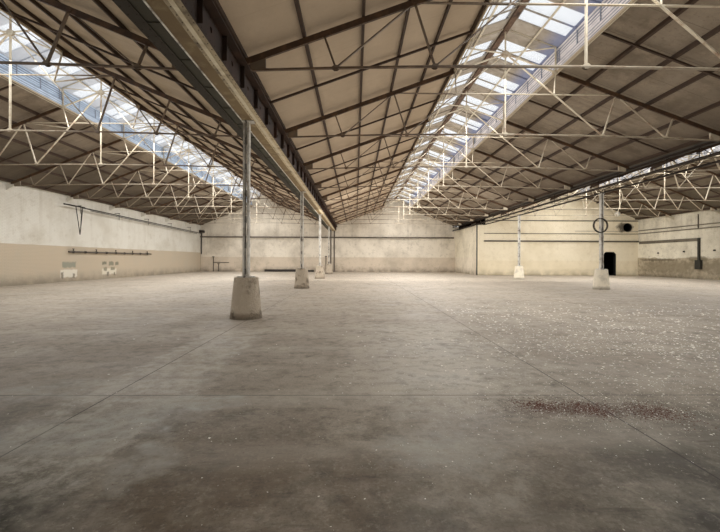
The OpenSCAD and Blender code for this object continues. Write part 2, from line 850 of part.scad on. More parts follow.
module left_wall_pipe() {
    x = -half_w + left_pipe_r + 30;
    z = floor_t + left_pipe_up;
    y0 = 2150;
    y1 = 7150;
    color(dark) {
        translate([x, y0, z]) rotate([-90, 0, 0]) cylinder(h = y1 - y0, r = left_pipe_r, $fn = 24);
        for (y = [y0 + 200 : bracket_gap : y1])
            block([-half_w, y - 12, z - 12], [x, y + 12, z + 12]);
    }
}

module cross_wall_pipes() {
    x0 = valley_x + wall_t;
    y1 = cross_y - thin_pipe_r - 12;
    y2 = cross_y - thick_pipe_r - 12;
    z1 = floor_t + thin_pipe_up;
    z2 = floor_t + thick_pipe_up;
    color(dark) {
        translate([x0, y1, z1]) rotate([0, 90, 0]) cylinder(h = half_w - x0, r = thin_pipe_r, $fn = 16);
        translate([x0, y2, z2]) rotate([0, 90, 0]) cylinder(h = half_w - x0, r = thick_pipe_r, $fn = 24);
        for (x = [x0 + 300 : bracket_gap : half_w]) {
            block([x - 8, y1, z1 - 8], [x + 8, cross_y, z1 + 8]);
            block([x - 12, y2, z2 - 12], [x + 12, cross_y, z2 + 12]);
        }
    }
}

// Rails and tray stop short of the pipes on the cross wall
fittings_end = cross_y - 2 * thick_pipe_r - 20;

module right_wall_rails() {
    color(dark) for (up = [rail_up, rail_up + rail_gap]) {
        block([half_w - 40, -half_l, floor_t + up - 18], [half_w - 12, fittings_end, floor_t + up + 18]);
        for (n = [0.5 : 1 : truss_bays - room_bays])
            block([half_w - 26, cross_y - n * truss_bay - 10, floor_t + up - 10],
                [half_w, cross_y - n * truss_bay + 10, floor_t + up + 10]);
    }
}

tray_y = cross_y - tray_run;
tray_z = floor_t + tray_up;

module cable_tray() {
    w = 60;
    d = 35;
    lip = 5;
    color(dark) difference() {
        block([half_w - d, tray_y, tray_z - w], [half_w, fittings_end, tray_z + w]);
        block([half_w - d - 1, tray_y - 1, tray_z - w + lip], [half_w - 8, cross_y, tray_z + w - lip]);
    }
}

// The duct drops from the end of the tray into a cabinet
module wall_duct() {
    y0 = tray_y - duct_w;
    side = 90;
    color(dark) {
        block([half_w - 70, y0, floor_t + 700], [half_w, tray_y, tray_z + 60]);
        block([half_w - 100, y0 - side, floor_t + 390], [half_w, tray_y + side, floor_t + 750]);
    }
}

floor_slab();
left_wall();
right_wall();
back_wall();
back_gables();
front_wall();
front_wall_over();
front_gables();
cross_wall();
cross_wall_over();
cross_gable();
room_side_wall();
plinths();
left_columns();
right_columns();
column_ring();
left_valley_girders();
right_valley_girders();
valley_casing();
valley_gutters();
left_trusses();
centre_trusses();
right_trusses();
left_purlins();
centre_purlins();
right_purlins();
left_roof();
centre_roof();
right_roof();
room_roof();
left_louvres();
centre_louvres();
right_louvres();
lantern_boards();
lantern_glass();
lantern_ridges();
eaves_gutters();
outer_downpipes();
valley_downpipes();
back_wall_pipe();
left_wall_pipe();
cross_wall_pipes();
right_wall_rails();
cable_tray();
wall_duct();
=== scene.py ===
import bmesh, bpy, json, math, random
import numpy as np
from mathutils import Matrix, Vector


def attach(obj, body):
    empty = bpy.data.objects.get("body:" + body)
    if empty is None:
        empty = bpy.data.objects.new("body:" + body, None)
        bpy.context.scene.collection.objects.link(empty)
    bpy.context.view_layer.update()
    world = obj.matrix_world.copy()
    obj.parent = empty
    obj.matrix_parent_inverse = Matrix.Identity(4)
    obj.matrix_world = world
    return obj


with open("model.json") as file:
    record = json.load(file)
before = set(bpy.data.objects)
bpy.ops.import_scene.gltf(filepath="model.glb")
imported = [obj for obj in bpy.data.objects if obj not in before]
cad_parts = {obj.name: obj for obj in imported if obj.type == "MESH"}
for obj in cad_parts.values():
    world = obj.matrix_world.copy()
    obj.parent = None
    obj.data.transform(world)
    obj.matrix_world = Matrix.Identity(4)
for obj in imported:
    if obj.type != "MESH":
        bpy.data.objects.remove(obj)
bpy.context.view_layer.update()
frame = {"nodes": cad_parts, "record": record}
NODES = frame["nodes"]
scene = bpy.context.scene

# Sizes of the CAD part, in metres, measured from the ground under the middle of the hall
AISLE, BAY = 7.5, 2.15                     # from ridge to ridge, from truss to truss
HALF_W, HALF_L, FLOOR = 11.25, 12.9, 0.1   # inner faces of the outer walls, top of the floor
CROSS_Y, CROSS_BACK = 8.6, 8.8             # faces of the cross wall
ROOM_X = (3.745, 3.75)                     # where the end room begins, in its side wall
FLUE_X, FLUE_Z = 10.75, 2.4                # round hole in the cross wall
VALLEY, LEFT_ROW, RIGHT_ROW = 3.632, 3.617, 3.8795   # valleys and column rows from the middle
GIRDER_Z, GIRDER_TOP = 2.495, 2.72         # underside and top of the valley girders
# Left valley: x from and to of the girders' flanges and of the casing, x of the girders' webs
OUTER_FLANGE, INNER_FLANGE, CASING = (-3.875, -3.777), (-3.542, -3.422), (-3.672, -3.542)
OUTER_WEB, INNER_WEB = -3.826, -3.427
# Trusses: a heel is the distance of a rafter's foot from the ridge line
HEEL_Z, CENTRE_HEEL, SIDE_HEEL = 2.75, 3.3845, 3.6205
CENTRE_PITCH, SIDE_PITCH = math.radians(20), math.radians(22.2)
TIE_Z, CAMBER, TRUSS_T = 2.672, 0.072, 0.028
DECK_UP, DECK_T = 0.0746, 0.034            # underside of the deck over the rafter line, and its thickness
# Lanterns: half the width of the opening, curb, height and slats of the louvres
LANTERN, CURB_T, CURB_H, LOUVRE_H, SLATS = 0.8, 0.04, 0.112, 0.26, 9
# Aisles: name, x of the ridge, heel, end in y
AISLES = [("left", -AISLE, SIDE_HEEL, HALF_L), ("centre", 0, CENTRE_HEEL, HALF_L),
          ("right", AISLE, SIDE_HEEL, CROSS_Y)]
LINES = [HALF_L - n * BAY for n in range(1, 12)]   # y of the trusses


def pitch(heel):
    return CENTRE_PITCH if heel == CENTRE_HEEL else SIDE_PITCH


def run(heel):
    return math.tan(pitch(heel))


def slope_z(heel, d, up):
    """Height at d from the ridge line, up above the line of the rafters."""
    return HEEL_Z + (heel - d) * run(heel) + up / math.cos(pitch(heel))


def eave_z(heel):
    """Top of a lantern's louvres."""
    return slope_z(heel, LANTERN, DECK_UP + DECK_T) + LOUVRE_H


def lantern_z(heel, d):
    """Underside of a lantern's sheets at d from the ridge line."""
    return eave_z(heel) + (LANTERN + CURB_T - d) * run(heel)


# ---------------------------------------------------------------- shaders

class Shader:
    """A Principled material, painted in layers with procedural masks."""

    def __init__(self, name, color, rough, metal=0.0, alpha=1.0):
        self.m = bpy.data.materials.new(name)
        self.m.use_nodes = True
        self.t = self.m.node_tree
        self.b = self.t.nodes["Principled BSDF"]
        self.b.inputs["Base Color"].default_value = (*color, 1)
        self.b.inputs["Roughness"].default_value = rough
        self.b.inputs["Metallic"].default_value = metal
        self.b.inputs["Alpha"].default_value = alpha
        self.coord = self.t.nodes.new("ShaderNodeTexCoord").outputs["Object"]
        self.paint = color

    def put(self, socket, value):
        if isinstance(value, bpy.types.NodeSocket):
            self.t.links.new(value, socket)
        elif isinstance(value, (tuple, list)) and len(value) == 3 and socket.type == "RGBA":
            socket.default_value = (*value, 1)
        else:
            socket.default_value = value

    def split(self, vec):
        n = self.t.nodes.new("ShaderNodeSeparateXYZ")
        self.put(n.inputs[0], vec)
        return n.outputs

    def axes(self):
        """The x, y and z of the frame."""
        return self.split(self.coord)

    def normal(self):
        return self.split(self.t.nodes.new("ShaderNodeNewGeometry").outputs["Normal"])

    def vector(self, x, y, z=0.0):
        n = self.t.nodes.new("ShaderNodeCombineXYZ")
        for s, v in zip(n.inputs, (x, y, z)):
            self.put(s, v)
        return n.outputs[0]

    def stretch(self, sx, sy, sz):
        n = self.t.nodes.new("ShaderNodeMapping")
        self.put(n.inputs["Vector"], self.coord)
        n.inputs["Scale"].default_value = (sx, sy, sz)
        return n.outputs[0]

    def noise(self, scale, detail=4.0, rough=0.55, vec=None):
        n = self.t.nodes.new("ShaderNodeTexNoise")
        self.put(n.inputs["Vector"], vec or self.coord)
        n.inputs["Scale"].default_value = scale
        n.inputs["Detail"].default_value = detail
        n.inputs["Roughness"].default_value = rough
        return n.outputs["Fac"]

    def math(self, op, a, b=0.5):
        n = self.t.nodes.new("ShaderNodeMath")
        n.operation = op
        self.put(n.inputs[0], a)
        self.put(n.inputs[1], b)
        return n.outputs[0]

    def plus(self, a, b):
        return self.math("ADD", a, b)

    def minus(self, a, b):
        return self.math("SUBTRACT", a, b)

    def times(self, a, b):
        return self.math("MULTIPLY", a, b)

    def most(self, a, b):
        return self.math("MAXIMUM", a, b)

    def below(self, a, b):
        return self.math("LESS_THAN", a, b)

    def above(self, a, b):
        return self.math("GREATER_THAN", a, b)

    def span(self, v, lo, hi, out_lo=0.0, out_hi=1.0):
        """out_lo at lo and before it, out_hi at hi and past it."""
        n = self.t.nodes.new("ShaderNodeMapRange")
        self.put(n.inputs["Value"], v)
        n.inputs["From Min"].default_value, n.inputs["From Max"].default_value = lo, hi
        n.inputs["To Min"].default_value, n.inputs["To Max"].default_value = out_lo, out_hi
        return n.outputs["Result"]

    def within(self, value, lo, hi, soft=0.02):
        """1 from lo to hi, 0 outside."""
        return self.times(self.span(value, lo - soft, lo + soft), self.span(value, hi + soft, hi - soft))

    def spot(self, at, radii, soft, wobble, scale):
        """1 inside a ragged ellipsoid round a point of the frame, 0 outside."""
        total = None
        for axis, c, r in zip(self.axes(), at, radii):
            off = self.math("ABSOLUTE", self.minus(axis, c))
            q = self.math("POWER", self.math("DIVIDE", off, r), 2.0)
            total = q if total is None else self.plus(total, q)
        ragged = self.plus(total, self.span(self.noise(scale), 0, 1, -wobble * 2, wobble * 2))
        return self.span(ragged, 1.0 + soft, 1.0 - soft)

    def mix(self, fac, a, b):
        n = self.t.nodes.new("ShaderNodeMix")
        n.data_type = "RGBA"
        self.put(n.inputs["Factor"], fac)
        self.put(n.inputs[6], a)
        self.put(n.inputs[7], b)
        return n.outputs[2]

    def ramp(self, value, lo, hi, stops):
        """Colours along a value that runs from lo to hi."""
        n = self.t.nodes.new("ShaderNodeValToRGB")
        self.put(n.inputs[0], self.span(value, lo, hi))
        e = n.color_ramp.elements
        for k, (at, col) in enumerate(stops):
            q = e[k] if k < 2 else e.new(1.0)
            q.position, q.color = (at - lo) / (hi - lo), (*col, 1)
        return n.outputs[0]

    def lay(self, mask, tone):
        """Put a tone over the paint so far where the mask is 1."""
        self.paint = self.mix(mask, self.paint, tone)

    def mottle(self, tone, amount, lo, hi, scale, detail=4.0, rough=0.55, vec=None):
        """Lay a tone in patches, where a noise rises from lo to hi."""
        self.lay(self.span(self.noise(scale, detail, rough, vec), lo, hi, 0, amount), tone)

    def fade(self, tone, amount, axis, start, end):
        """Lay a tone that grows from nothing at start to amount at end."""
        self.lay(self.span(axis, start, end, 0, amount), tone)

    def coat(self):
        """Give the paint so far to the surface."""
        self.put(self.b.inputs["Base Color"], self.paint)

    def bump(self, height, strength, distance):
        n = self.t.nodes.new("ShaderNodeBump")
        n.inputs["Strength"].default_value = strength
        n.inputs["Distance"].default_value = distance
        self.put(n.inputs["Height"], height)
        self.put(self.b.inputs["Normal"], n.outputs[0])


def rgb(r, g, b):
    """Screen colour 0..255 to the linear colour a shader takes."""
    return tuple((c / 255 / 12.92) if c / 255 <= 0.04045 else ((c / 255 + 0.055) / 1.055) ** 2.4
                 for c in (r, g, b))


def worn(name, base, dark, light=None, scale=3.0, rough=0.7, metal=0.0, amount=0.5):
    """Old paint or steel with darker and lighter patches."""
    s = Shader(name, base, rough, metal)
    s.mottle(dark, amount, 0.48, 0.72, scale, 6, 0.6)
    if light:
        s.mottle(light, 0.5, 0.55, 0.75, scale * 3.1)
    s.coat()
    s.bump(s.noise(scale * 9, 3), 0.15, 0.004)
    return s


BRICK = {"Scale": 1.0, "Brick Width": 0.125, "Row Height": 0.0375, "Mortar Size": 0.0035, "Mortar Smooth": 0.6}


def masonry(name, upper, lower, line, dirt, edge=0.02, joint=0.3):
    """Painted brick: courses in relief, two tones of paint, dirt low down and run-off stains."""
    s = Shader(name, upper, 0.82)
    x, y, z = s.axes()
    along = s.t.nodes.new("ShaderNodeMix")
    along.data_type = "FLOAT"
    faces_x = s.above(s.math("ABSOLUTE", s.normal()[0]), 0.5)
    for k, value in ((0, faces_x), (2, x), (3, y)):
        s.put(along.inputs[k], value)
    brick = s.t.nodes.new("ShaderNodeTexBrick")
    brick.offset = 0.5
    s.put(brick.inputs["Vector"], s.vector(along.outputs[0], z))
    for key, value in BRICK.items():
        brick.inputs[key].default_value = value
    mortar = brick.outputs["Fac"]
    ragged = s.plus(z, s.span(s.noise(1.7, 2), 0, 1, -edge, edge))
    s.lay(s.span(ragged, line + 0.006, line - 0.006), lower)
    s.mottle(dirt, 0.55, 0.45, 0.7, 0.9, 5, 0.6)
    s.mottle(dirt, 0.5, 0.54, 0.74, 6.0, 5, 0.65)
    runs = s.noise(1.0, 3, vec=s.stretch(5, 5, 0.35))
    s.lay(s.times(s.span(runs, 0.55, 0.75, 0, 0.4), s.span(z, 0.8, 2.6)), dirt)
    foot = s.times(s.span(z, 0.45, 0.1), s.span(s.noise(3.0, 5), 0.3, 0.6))
    for mask, amount in ((foot, 0.75), (mortar, joint)):
        s.lay(s.times(mask, amount), tuple(v * 0.5 for v in dirt))
    s.coat()
    s.bump(s.plus(s.times(mortar, -1.0), s.times(s.noise(25, 3), 0.3)), 0.5, 0.004)
    return s


# ---------------------------------------------------------------- meshes

BOX_FACES = [(3, 2, 1, 0), (4, 5, 6, 7), (0, 1, 5, 4), (1, 2, 6, 5), (2, 3, 7, 6), (3, 0, 4, 7)]


def ring(centre, u, w, r, n):
    """n points on a circle round centre in the plane of u and w."""
    turns = [k * math.tau / n for k in range(n)]
    return [centre + (u * math.cos(a) + w * math.sin(a)) * r for a in turns]


def add_object(name, data):
    o = bpy.data.objects.new(name, data)
    scene.collection.objects.link(o)
    return o


def piece(name, mesh, shader, smooth=False):
    """Put a mesh into the scene as a fixed piece of the hall."""
    if smooth:
        mesh.polygons.foreach_set("use_smooth", [True] * len(mesh.polygons))
    o = add_object(name, mesh)
    mesh.materials.append(shader.m)
    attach(o, "root")


class Parts:
    """Collects simple solids into one mesh."""

    def __init__(self):
        self.v, self.f = [], []

    def add(self, verts, faces):
        n = len(self.v)
        self.v += [tuple(p) for p in verts]
        self.f += [tuple(i + n for i in f) for f in faces]

    def box(self, a, b):
        x0, y0, z0 = a
        x1, y1, z1 = b
        self.add([(x, y, z) for z in (z0, z1) for x, y in ((x0, y0), (x1, y0), (x1, y1), (x0, y1))], BOX_FACES)

    def beam(self, p, q, w, h):
        """A box from p to q, w wide and h deep."""
        p, q = Vector(p), Vector(q)
        d = (q - p).normalized()
        side = d.cross(Vector((0, 0, 1))).normalized() * (w / 2)
        top = side.cross(d).normalized() * (h / 2)
        c = [p - side - top, p + side - top, p + side + top, p - side + top]
        self.add(c + [v + (q - p) for v in c], BOX_FACES)

    def tube(self, pts, r, n=8):
        """A round bar with closed ends along a line of points."""
        pts = [Vector(p) for p in pts]
        verts, u = [], None
        for before, p, after in zip(pts[:1] + pts, pts, pts[1:] + pts[-1:]):
            d = (after - before).normalized()
            if u is None:
                u = Vector((0, 0, 1)) if abs(d.z) < 0.9 else Vector((1, 0, 0))
            u = (u - d * u.dot(d)).normalized()
            verts += ring(p, u, d.cross(u), r, n)
        faces = [(i * n + k, i * n + (k + 1) % n, (i + 1) * n + (k + 1) % n, (i + 1) * n + k)
                 for i in range(len(pts) - 1) for k in range(n)]
        last = (len(pts) - 1) * n
        self.add(verts, faces + [tuple(range(n - 1, -1, -1)), tuple(range(last, last + n))])

    def plate(self, outline, y, t):
        """A flat plate from y to y + t, with an outline in x and z."""
        n = len(outline)
        faces = [tuple(range(n)), tuple(range(2 * n - 1, n - 1, -1))]
        faces += [(n + k, n + (k + 1) % n, (k + 1) % n, k) for k in range(n)]
        self.add([(x, at, z) for at in (y, y + t) for x, z in outline], faces)

    def mesh(self, name):
        me = bpy.data.meshes.new(name)
        me.from_pydata(self.v, [], self.f)
        return me

    def make(self, name, shader, slot, smooth=False):
        me = self.mesh(name)
        me.validate()
        me.update()
        piece(name, me, shader, smooth)


# ---------------------------------------------------------------- materials of the CAD nodes

# Painted shade: the black of the unlit end room behind the cross wall
UNLIT_BLACK = rgb(14, 12, 11)


def paint_room_shade(s):
    """Coat a shader, with painted shade: black inside the unlit end room behind the cross wall."""
    x, y, _ = s.axes()
    room = s.times(s.span(x, *ROOM_X), s.span(y, CROSS_BACK - 0.01, CROSS_BACK + 0.01))
    inside = s.times(s.below(x, HALF_W + 0.02), s.below(y, HALF_L + 0.02))
    s.lay(s.times(room, inside), UNLIT_BLACK)
    s.coat()
    return s


def patch(s, y, z, ry, rz):
    """1 inside a rectangle on a wall along Y, with edges as ragged as old paint."""
    _, along, up = s.axes()
    wobble = s.span(s.noise(9.0, 3), 0, 1, -0.05, 0.05)
    across = s.within(s.plus(along, wobble), y - ry, y + ry)
    return s.times(across, s.within(s.plus(up, wobble), z - rz, z + rz))


# Repairs and sockets on the left wall: y, z, half width, half height, tone
LEFT_PATCHES = (
    (2.24, 0.35, 0.36, 0.12, rgb(226, 220, 204)), (2.24, 0.62, 0.3, 0.09, rgb(140, 142, 126)),
    (1.95, 0.3, 0.05, 0.1, rgb(120, 112, 96)), (2.45, 0.27, 0.05, 0.08, rgb(130, 122, 104)),
    (4.3, 0.36, 0.42, 0.1, rgb(222, 214, 194)), (4.0, 0.66, 0.12, 0.05, rgb(110, 110, 92)),
    (4.4, 0.64, 0.14, 0.07, rgb(126, 124, 104)), (4.75, 0.64, 0.1, 0.06, rgb(118, 116, 98)),
    (4.05, 0.44, 0.1, 0.06, rgb(134, 128, 108)), (4.5, 0.46, 0.12, 0.06, rgb(128, 122, 102)),
    (4.2, 0.27, 0.05, 0.07, rgb(110, 102, 84)), (4.6, 0.26, 0.04, 0.06, rgb(120, 110, 90)),
)
# Dirty places low on the right wall: y, z, half width, half height, tone
RIGHT_STAINS = (
    (6.6, 0.55, 1.6, 0.28, rgb(128, 116, 92)), (3.0, 0.6, 2.4, 0.3, rgb(120, 108, 86)),
    (-2.0, 0.6, 3.0, 0.3, rgb(126, 116, 94)), (7.4, 0.86, 0.9, 0.06, rgb(92, 82, 62)),
    (5.2, 0.9, 0.5, 0.1, rgb(104, 94, 72)),
)


def left_wall():
    s = masonry("wall_left", rgb(222, 218, 206), rgb(194, 178, 154), 1.2, rgb(186, 176, 156))
    for y, z, ry, rz, tone in LEFT_PATCHES:
        s.lay(s.times(patch(s, y, z, ry, rz), 0.85), tone)
    _, y, z = s.axes()
    # Painted shade: the far part of the wall a little darker
    s.fade(rgb(150, 142, 128), 0.15, y, 5.5, 11.0)
    # Painted shade: a dark band at the top of the wall, under the roof
    s.fade(rgb(92, 76, 58), 0.65, z, 2.8, 2.93)
    s.coat()
    return s


def right_wall():
    s = masonry("wall_right", rgb(240, 232, 210), rgb(192, 178, 152), 0.93, rgb(150, 138, 116), edge=0.14)
    _, along, up = s.axes()
    worn_low = s.times(s.span(s.noise(7.0, 6, 0.7), 0.46, 0.62), s.span(up, 1.0, 0.86))
    s.lay(s.times(worn_low, 0.6), rgb(112, 100, 76))
    for y, z, ry, rz, tone in RIGHT_STAINS:
        s.lay(s.times(s.spot((HALF_W, y, z), (0.4, ry, rz), 0.5, 0.8, 5.0), 0.75), tone)
    # Painted shade: the wall darker towards the front
    s.fade(rgb(108, 98, 78), 0.6, along, 7.2, 3.5)
    # Painted shadow of the eaves: a dark band at the top of the wall
    s.fade(rgb(84, 70, 50), 0.8, up, 2.74, 2.92)
    return paint_room_shade(s)


def cross_wall():
    """The wall with the sooty round hole. Its back and the faces of its openings are black with painted shade,
    towards the unlit end room.
    """
    s = masonry("wall_cross", rgb(236, 224, 197), rgb(232, 218, 188), 0.8, rgb(206, 190, 156), joint=0.5)
    smoke = s.spot((FLUE_X - 0.14, CROSS_Y, FLUE_Z + 0.01), (0.36, 0.4, 0.22), 0.5, 0.5, 9.0)
    s.lay(s.times(smoke, 0.9), rgb(60, 52, 42))
    # Painted shade: black on the back of the wall and in its openings, facing the unlit room
    s.lay(s.above(s.axes()[1], CROSS_Y + 0.003), UNLIT_BLACK)
    return paint_room_shade(s)


CORRUGATION = 0.0885    # from crest to crest of the roof sheets
HALF_BOARD = BAY / 8    # half the width of a roof board


def roofing(name, base, dark, light):
    """Dusty boards below, corrugated sheet on top."""
    s = Shader(name, base, 0.9)
    y = s.axes()[1]
    s.mottle(dark, 0.75, 0.42, 0.68, 1.3, 6, 0.6)
    s.mottle(light, 0.6, 0.5, 0.72, 5.0, 5, 0.7)
    s.mottle(dark, 0.5, 0.54, 0.7, 19.0, 5, 0.75)
    seam = s.below(s.math("PINGPONG", y, HALF_BOARD), 0.0035)
    s.lay(s.times(seam, 0.55), tuple(v * 0.5 for v in dark))
    s.mottle(dark, 0.4, 0.55, 0.75, 1.0, 3, vec=s.stretch(0.7, 6, 0.7))
    s.top = s.above(s.normal()[2], 0.3)
    wave = s.times(s.math("SINE", s.times(y, math.tau / CORRUGATION)), s.top)
    s.bump(s.plus(s.times(wave, 0.6), s.times(s.noise(30, 3), 0.15)), 0.8, 0.012)
    return s


def roof_boards():
    """Painted light on the slopes beside the left valley, brown painted shade towards the outer walls and the
    right valley, and weathered grey on top.
    """
    s = roofing("roof_board", rgb(150, 136, 118), rgb(98, 84, 68), rgb(170, 153, 130))
    plain = s.paint
    x = s.axes()[0]
    # Painted light: paler slopes on both sides of the left valley
    s.lay(s.times(s.within(x, -3.5, -0.75), 0.62), rgb(206, 184, 156))
    s.lay(s.times(s.within(x, -6.8, -3.7), 0.4), rgb(196, 174, 142))
    # Painted shade: brown towards the right valley and the left wall
    s.fade(rgb(58, 44, 32), 0.6, x, 2.3, 3.45)
    s.fade(rgb(62, 52, 38), 0.8, x, -8.2, -10.2)
    s.fade(rgb(90, 80, 64), 0.2, x, 0.3, 2.2)
    s.lay(s.within(x, 3.9, 11.3, 0.1), plain)
    # Painted shade: brown towards the right wall
    s.fade(rgb(66, 58, 40), 0.7, x, 6.0, 10.2)
    s.lay(s.top, s.mix(0.5, plain, rgb(132, 126, 118)))
    s.coat()
    return s


def lantern_sheet():
    """Pale with painted light over the outer aisles, and a blue cast on one strip of the centre lantern."""
    s = roofing("sheet", rgb(162, 150, 134), rgb(104, 94, 78), rgb(190, 182, 168))
    x = s.axes()[0]
    # Painted light: the sheets over the outer aisles pale, as if daylight came through them
    s.fade(rgb(206, 214, 226), 0.75, x, -4.0, -5.0)
    s.fade(rgb(226, 226, 230), 0.8, x, 4.0, 5.0)
    s.lay(s.within(x, 0.62, 0.9, 0.1), s.mix(0.6, s.paint, rgb(120, 138, 184)))
    s.coat()
    return s


def truss_paint(name, ridge_x, heel):
    """Cream paint with rust. Rafters are dark brown. Painted shade makes all steel on the shaded side of the
    left valley dark brown, and darkens other steel out of the light.
    """
    s = Shader(name, rgb(214, 200, 172), 0.6)
    s.paint = rgb(222, 210, 184)
    x, y, z = s.axes()
    d = s.math("ABSOLUTE", s.minus(x, ridge_x))
    rise = s.plus(z, s.times(d, run(heel)))
    off = s.math("ABSOLUTE", s.minus(rise, HEEL_Z + heel * run(heel)))
    rafter_mask = s.times(s.span(off, 0.042, 0.036), s.above(d, LANTERN - 0.01))
    s.lay(s.times(s.span(s.noise(7, 6, 0.65), 0.5, 0.66), 0.7), rgb(148, 104, 70))
    # Painted shade on the struts near the right valley
    shaded_struts = s.times(s.within(x, 1.5, 3.6, 0.5), s.span(z, TIE_Z + 0.1, TIE_Z + 0.2, 0.15, 0.62))
    s.lay(shaded_struts, rgb(96, 78, 58))
    # Painted shade near the left wall
    s.lay(s.span(x, -7.6, -10.6, 0.15, 0.8), rgb(92, 76, 58))
    tie_top = TIE_Z + CAMBER
    # Painted shade on the nearest truss, in the unlit front bay
    nearest_shade = s.times(s.below(y, -8.0), s.span(z, tie_top + 0.02, tie_top + 0.05))
    s.lay(s.times(nearest_shade, 0.85), rgb(82, 70, 54))
    # Painted shade towards the right wall
    s.fade(rgb(120, 104, 80), 0.25, x, 5.0, 9.0)
    # Painted shade on the lower half of each tie's face
    u = s.math("DIVIDE", d, heel)
    camber = s.times(s.minus(1.0, s.times(u, u)), CAMBER)
    tie_underside_shade = s.below(s.minus(s.minus(z, TIE_Z), camber), -0.0015)
    s.lay(s.times(tie_underside_shade, 0.6), rgb(78, 58, 40))
    dark = s.mix(s.span(s.noise(9, 5, 0.6), 0.45, 0.7), rgb(70, 50, 34), rgb(104, 76, 50))
    # Painted shade on the shaded side of the left valley, laid together with the dark brown rafters
    shade = s.within(x, -6.6, -0.6, 0.3)
    s.lay(s.most(rafter_mask, s.times(shade, 0.85)), dark)
    s.coat()
    s.bump(s.noise(40, 2), 0.2, 0.003)
    return s


def column_paint():
    """Pale worn paint, with painted shade in the slot between the two channels."""
    s = Shader("column_steel", rgb(176, 170, 156), 0.6)
    s.paint = rgb(204, 200, 190)
    s.mottle(rgb(96, 80, 62), 0.8, 0.48, 0.66, 6, 6, 0.65)
    x = s.axes()[0]
    # Painted shade in the slot between the channels
    slot_shade = [s.within(x, row - 0.012, row + 0.012, 0.003) for row in (-LEFT_ROW, RIGHT_ROW)]
    s.lay(s.times(s.most(*slot_shade), 0.8), rgb(50, 44, 36))
    s.coat()
    s.bump(s.noise(50, 2), 0.2, 0.003)
    return s


def plate_girder_paint():
    """Dark brown, with what is left of cream paint under the inner flange."""
    s = Shader("plate_girder", rgb(58, 41, 27), 0.7)
    s.paint = rgb(44, 27, 15)
    x, y, z = s.axes()
    s.mottle(rgb(74, 46, 30), 1.0, 0.45, 0.72, 4, 6, 0.6)
    s.lay(s.below(x, OUTER_FLANGE[1] + 0.01), rgb(38, 34, 24))
    s.lay(s.within(x, OUTER_FLANGE[1], CASING[0], 0.01), rgb(58, 56, 42))
    flange = s.within(x, INNER_FLANGE[0] - 0.01, INNER_FLANGE[1] - 0.006, 0.002)
    flange = s.times(flange, s.below(z, GIRDER_Z + 0.002))
    s.lay(s.times(flange, s.span(s.noise(5, 5, 0.65), 0.66, 0.5, 0.35, 1.0)), rgb(196, 178, 144))
    # Painted shade: darker towards the unlit front bay
    s.fade(rgb(30, 20, 12), 0.45, y, -5.0, -8.0)
    s.coat()
    s.bump(s.noise(30, 3), 0.3, 0.004)
    return s


def casing_paint():
    s = worn("casing", rgb(128, 107, 72), rgb(86, 66, 42), rgb(180, 164, 124), scale=3, rough=0.75, amount=0.8)
    # Painted shade: darker towards the unlit front bay
    s.fade(rgb(74, 58, 38), 0.5, s.axes()[1], -5.0, -8.0)
    s.coat()
    return s


def louvre_paint(name, heel, tone):
    """Pale slats with painted shade in the gap over each one, and a cream rail along the foot of the curb."""
    s = Shader(name, tone, 0.6)
    down = s.minus(eave_z(heel), s.axes()[2])
    s.mottle(tuple(v * 0.6 for v in tone), 0.6, 0.45, 0.7, 5, 5, 0.6)
    gap = s.above(s.math("MODULO", down, (LOUVRE_H + CURB_H) / SLATS), 0.029)
    # Painted shade in the gap over each slat; the same mask makes the groove
    s.lay(s.times(gap, 0.75), rgb(92, 104, 128))
    s.lay(s.above(down, LOUVRE_H + CURB_H - 0.03), rgb(190, 172, 144))
    s.coat()
    s.bump(gap, -0.6, 0.006)
    return s


def plinth_concrete():
    """Rough concrete, paler with painted light and cleaner in the right row."""
    s = Shader("plinth", rgb(150, 136, 116), 0.95)
    x, _, z = s.axes()
    # Painted light: the right row paler than the left
    s.paint = s.mix(s.span(x, -1, 1), rgb(184, 170, 150), rgb(234, 224, 202))
    dirt = s.times(s.span(s.noise(7, 6, 0.65), 0.5, 0.64), s.span(x, 1, -1, 0.25, 0.75))
    s.lay(dirt, rgb(84, 72, 56))
    s.mottle(rgb(206, 196, 174), 0.6, 0.55, 0.72, 16, 5, 0.7)
    s.fade(rgb(70, 60, 48), 0.6, z, FLOOR + 0.09, FLOOR)
    s.coat()
    s.bump(s.plus(s.noise(14, 6, 0.7), s.noise(60, 2)), 0.9, 0.02)
    return s


# Floor: y and tone of the run of painted shade and light, from the dark front to the pale back
FLOOR_SHADE_RUN = ((-9.5, rgb(110, 99, 83)), (-8.9, rgb(137, 125, 109)), (-8.3, rgb(153, 142, 126)),
             (-7.4, rgb(154, 143, 128)), (-5.0, rgb(176, 164, 147)), (2.0, rgb(196, 183, 165)))
# Floor: mottling from coarse to fine: tone, amount, noise range, scale, detail, roughness
FLOOR_MOTTLE = (
    (rgb(188, 178, 160), 0.5, 0.48, 0.72, 2.4, 6, 0.7), (rgb(82, 76, 60), 0.5, 0.52, 0.68, 4.6, 7, 0.75),
    (rgb(70, 62, 52), 0.5, 0.5, 0.68, 13, 6, 0.75), (rgb(190, 182, 164), 0.25, 0.54, 0.68, 46, 4, 0.8),
    (rgb(60, 54, 42), 0.3, 0.5, 0.64, 90, 3, 0.8),
)
# Floor: pale patches: x, y, two radii, amount
FLOOR_PALE_PATCHES = ((-3.42, -8.75, 0.3, 0.16, 0.6), (-3.05, -8.38, 0.22, 0.1, 0.6), (-3.2, -8.55, 0.2, 0.12, 0.5),
             (-3.02, -8.98, 0.1, 0.16, 0.4), (-3.9, -8.2, 0.3, 0.2, 0.4), (-2.0, -8.9, 0.2, 0.16, 0.45))
# Floor: saw cuts along and across the hall: a place, spacing
CUTS = ((-3.56, 2.47), (-8.29, 4.94))
CUT_W = 0.007


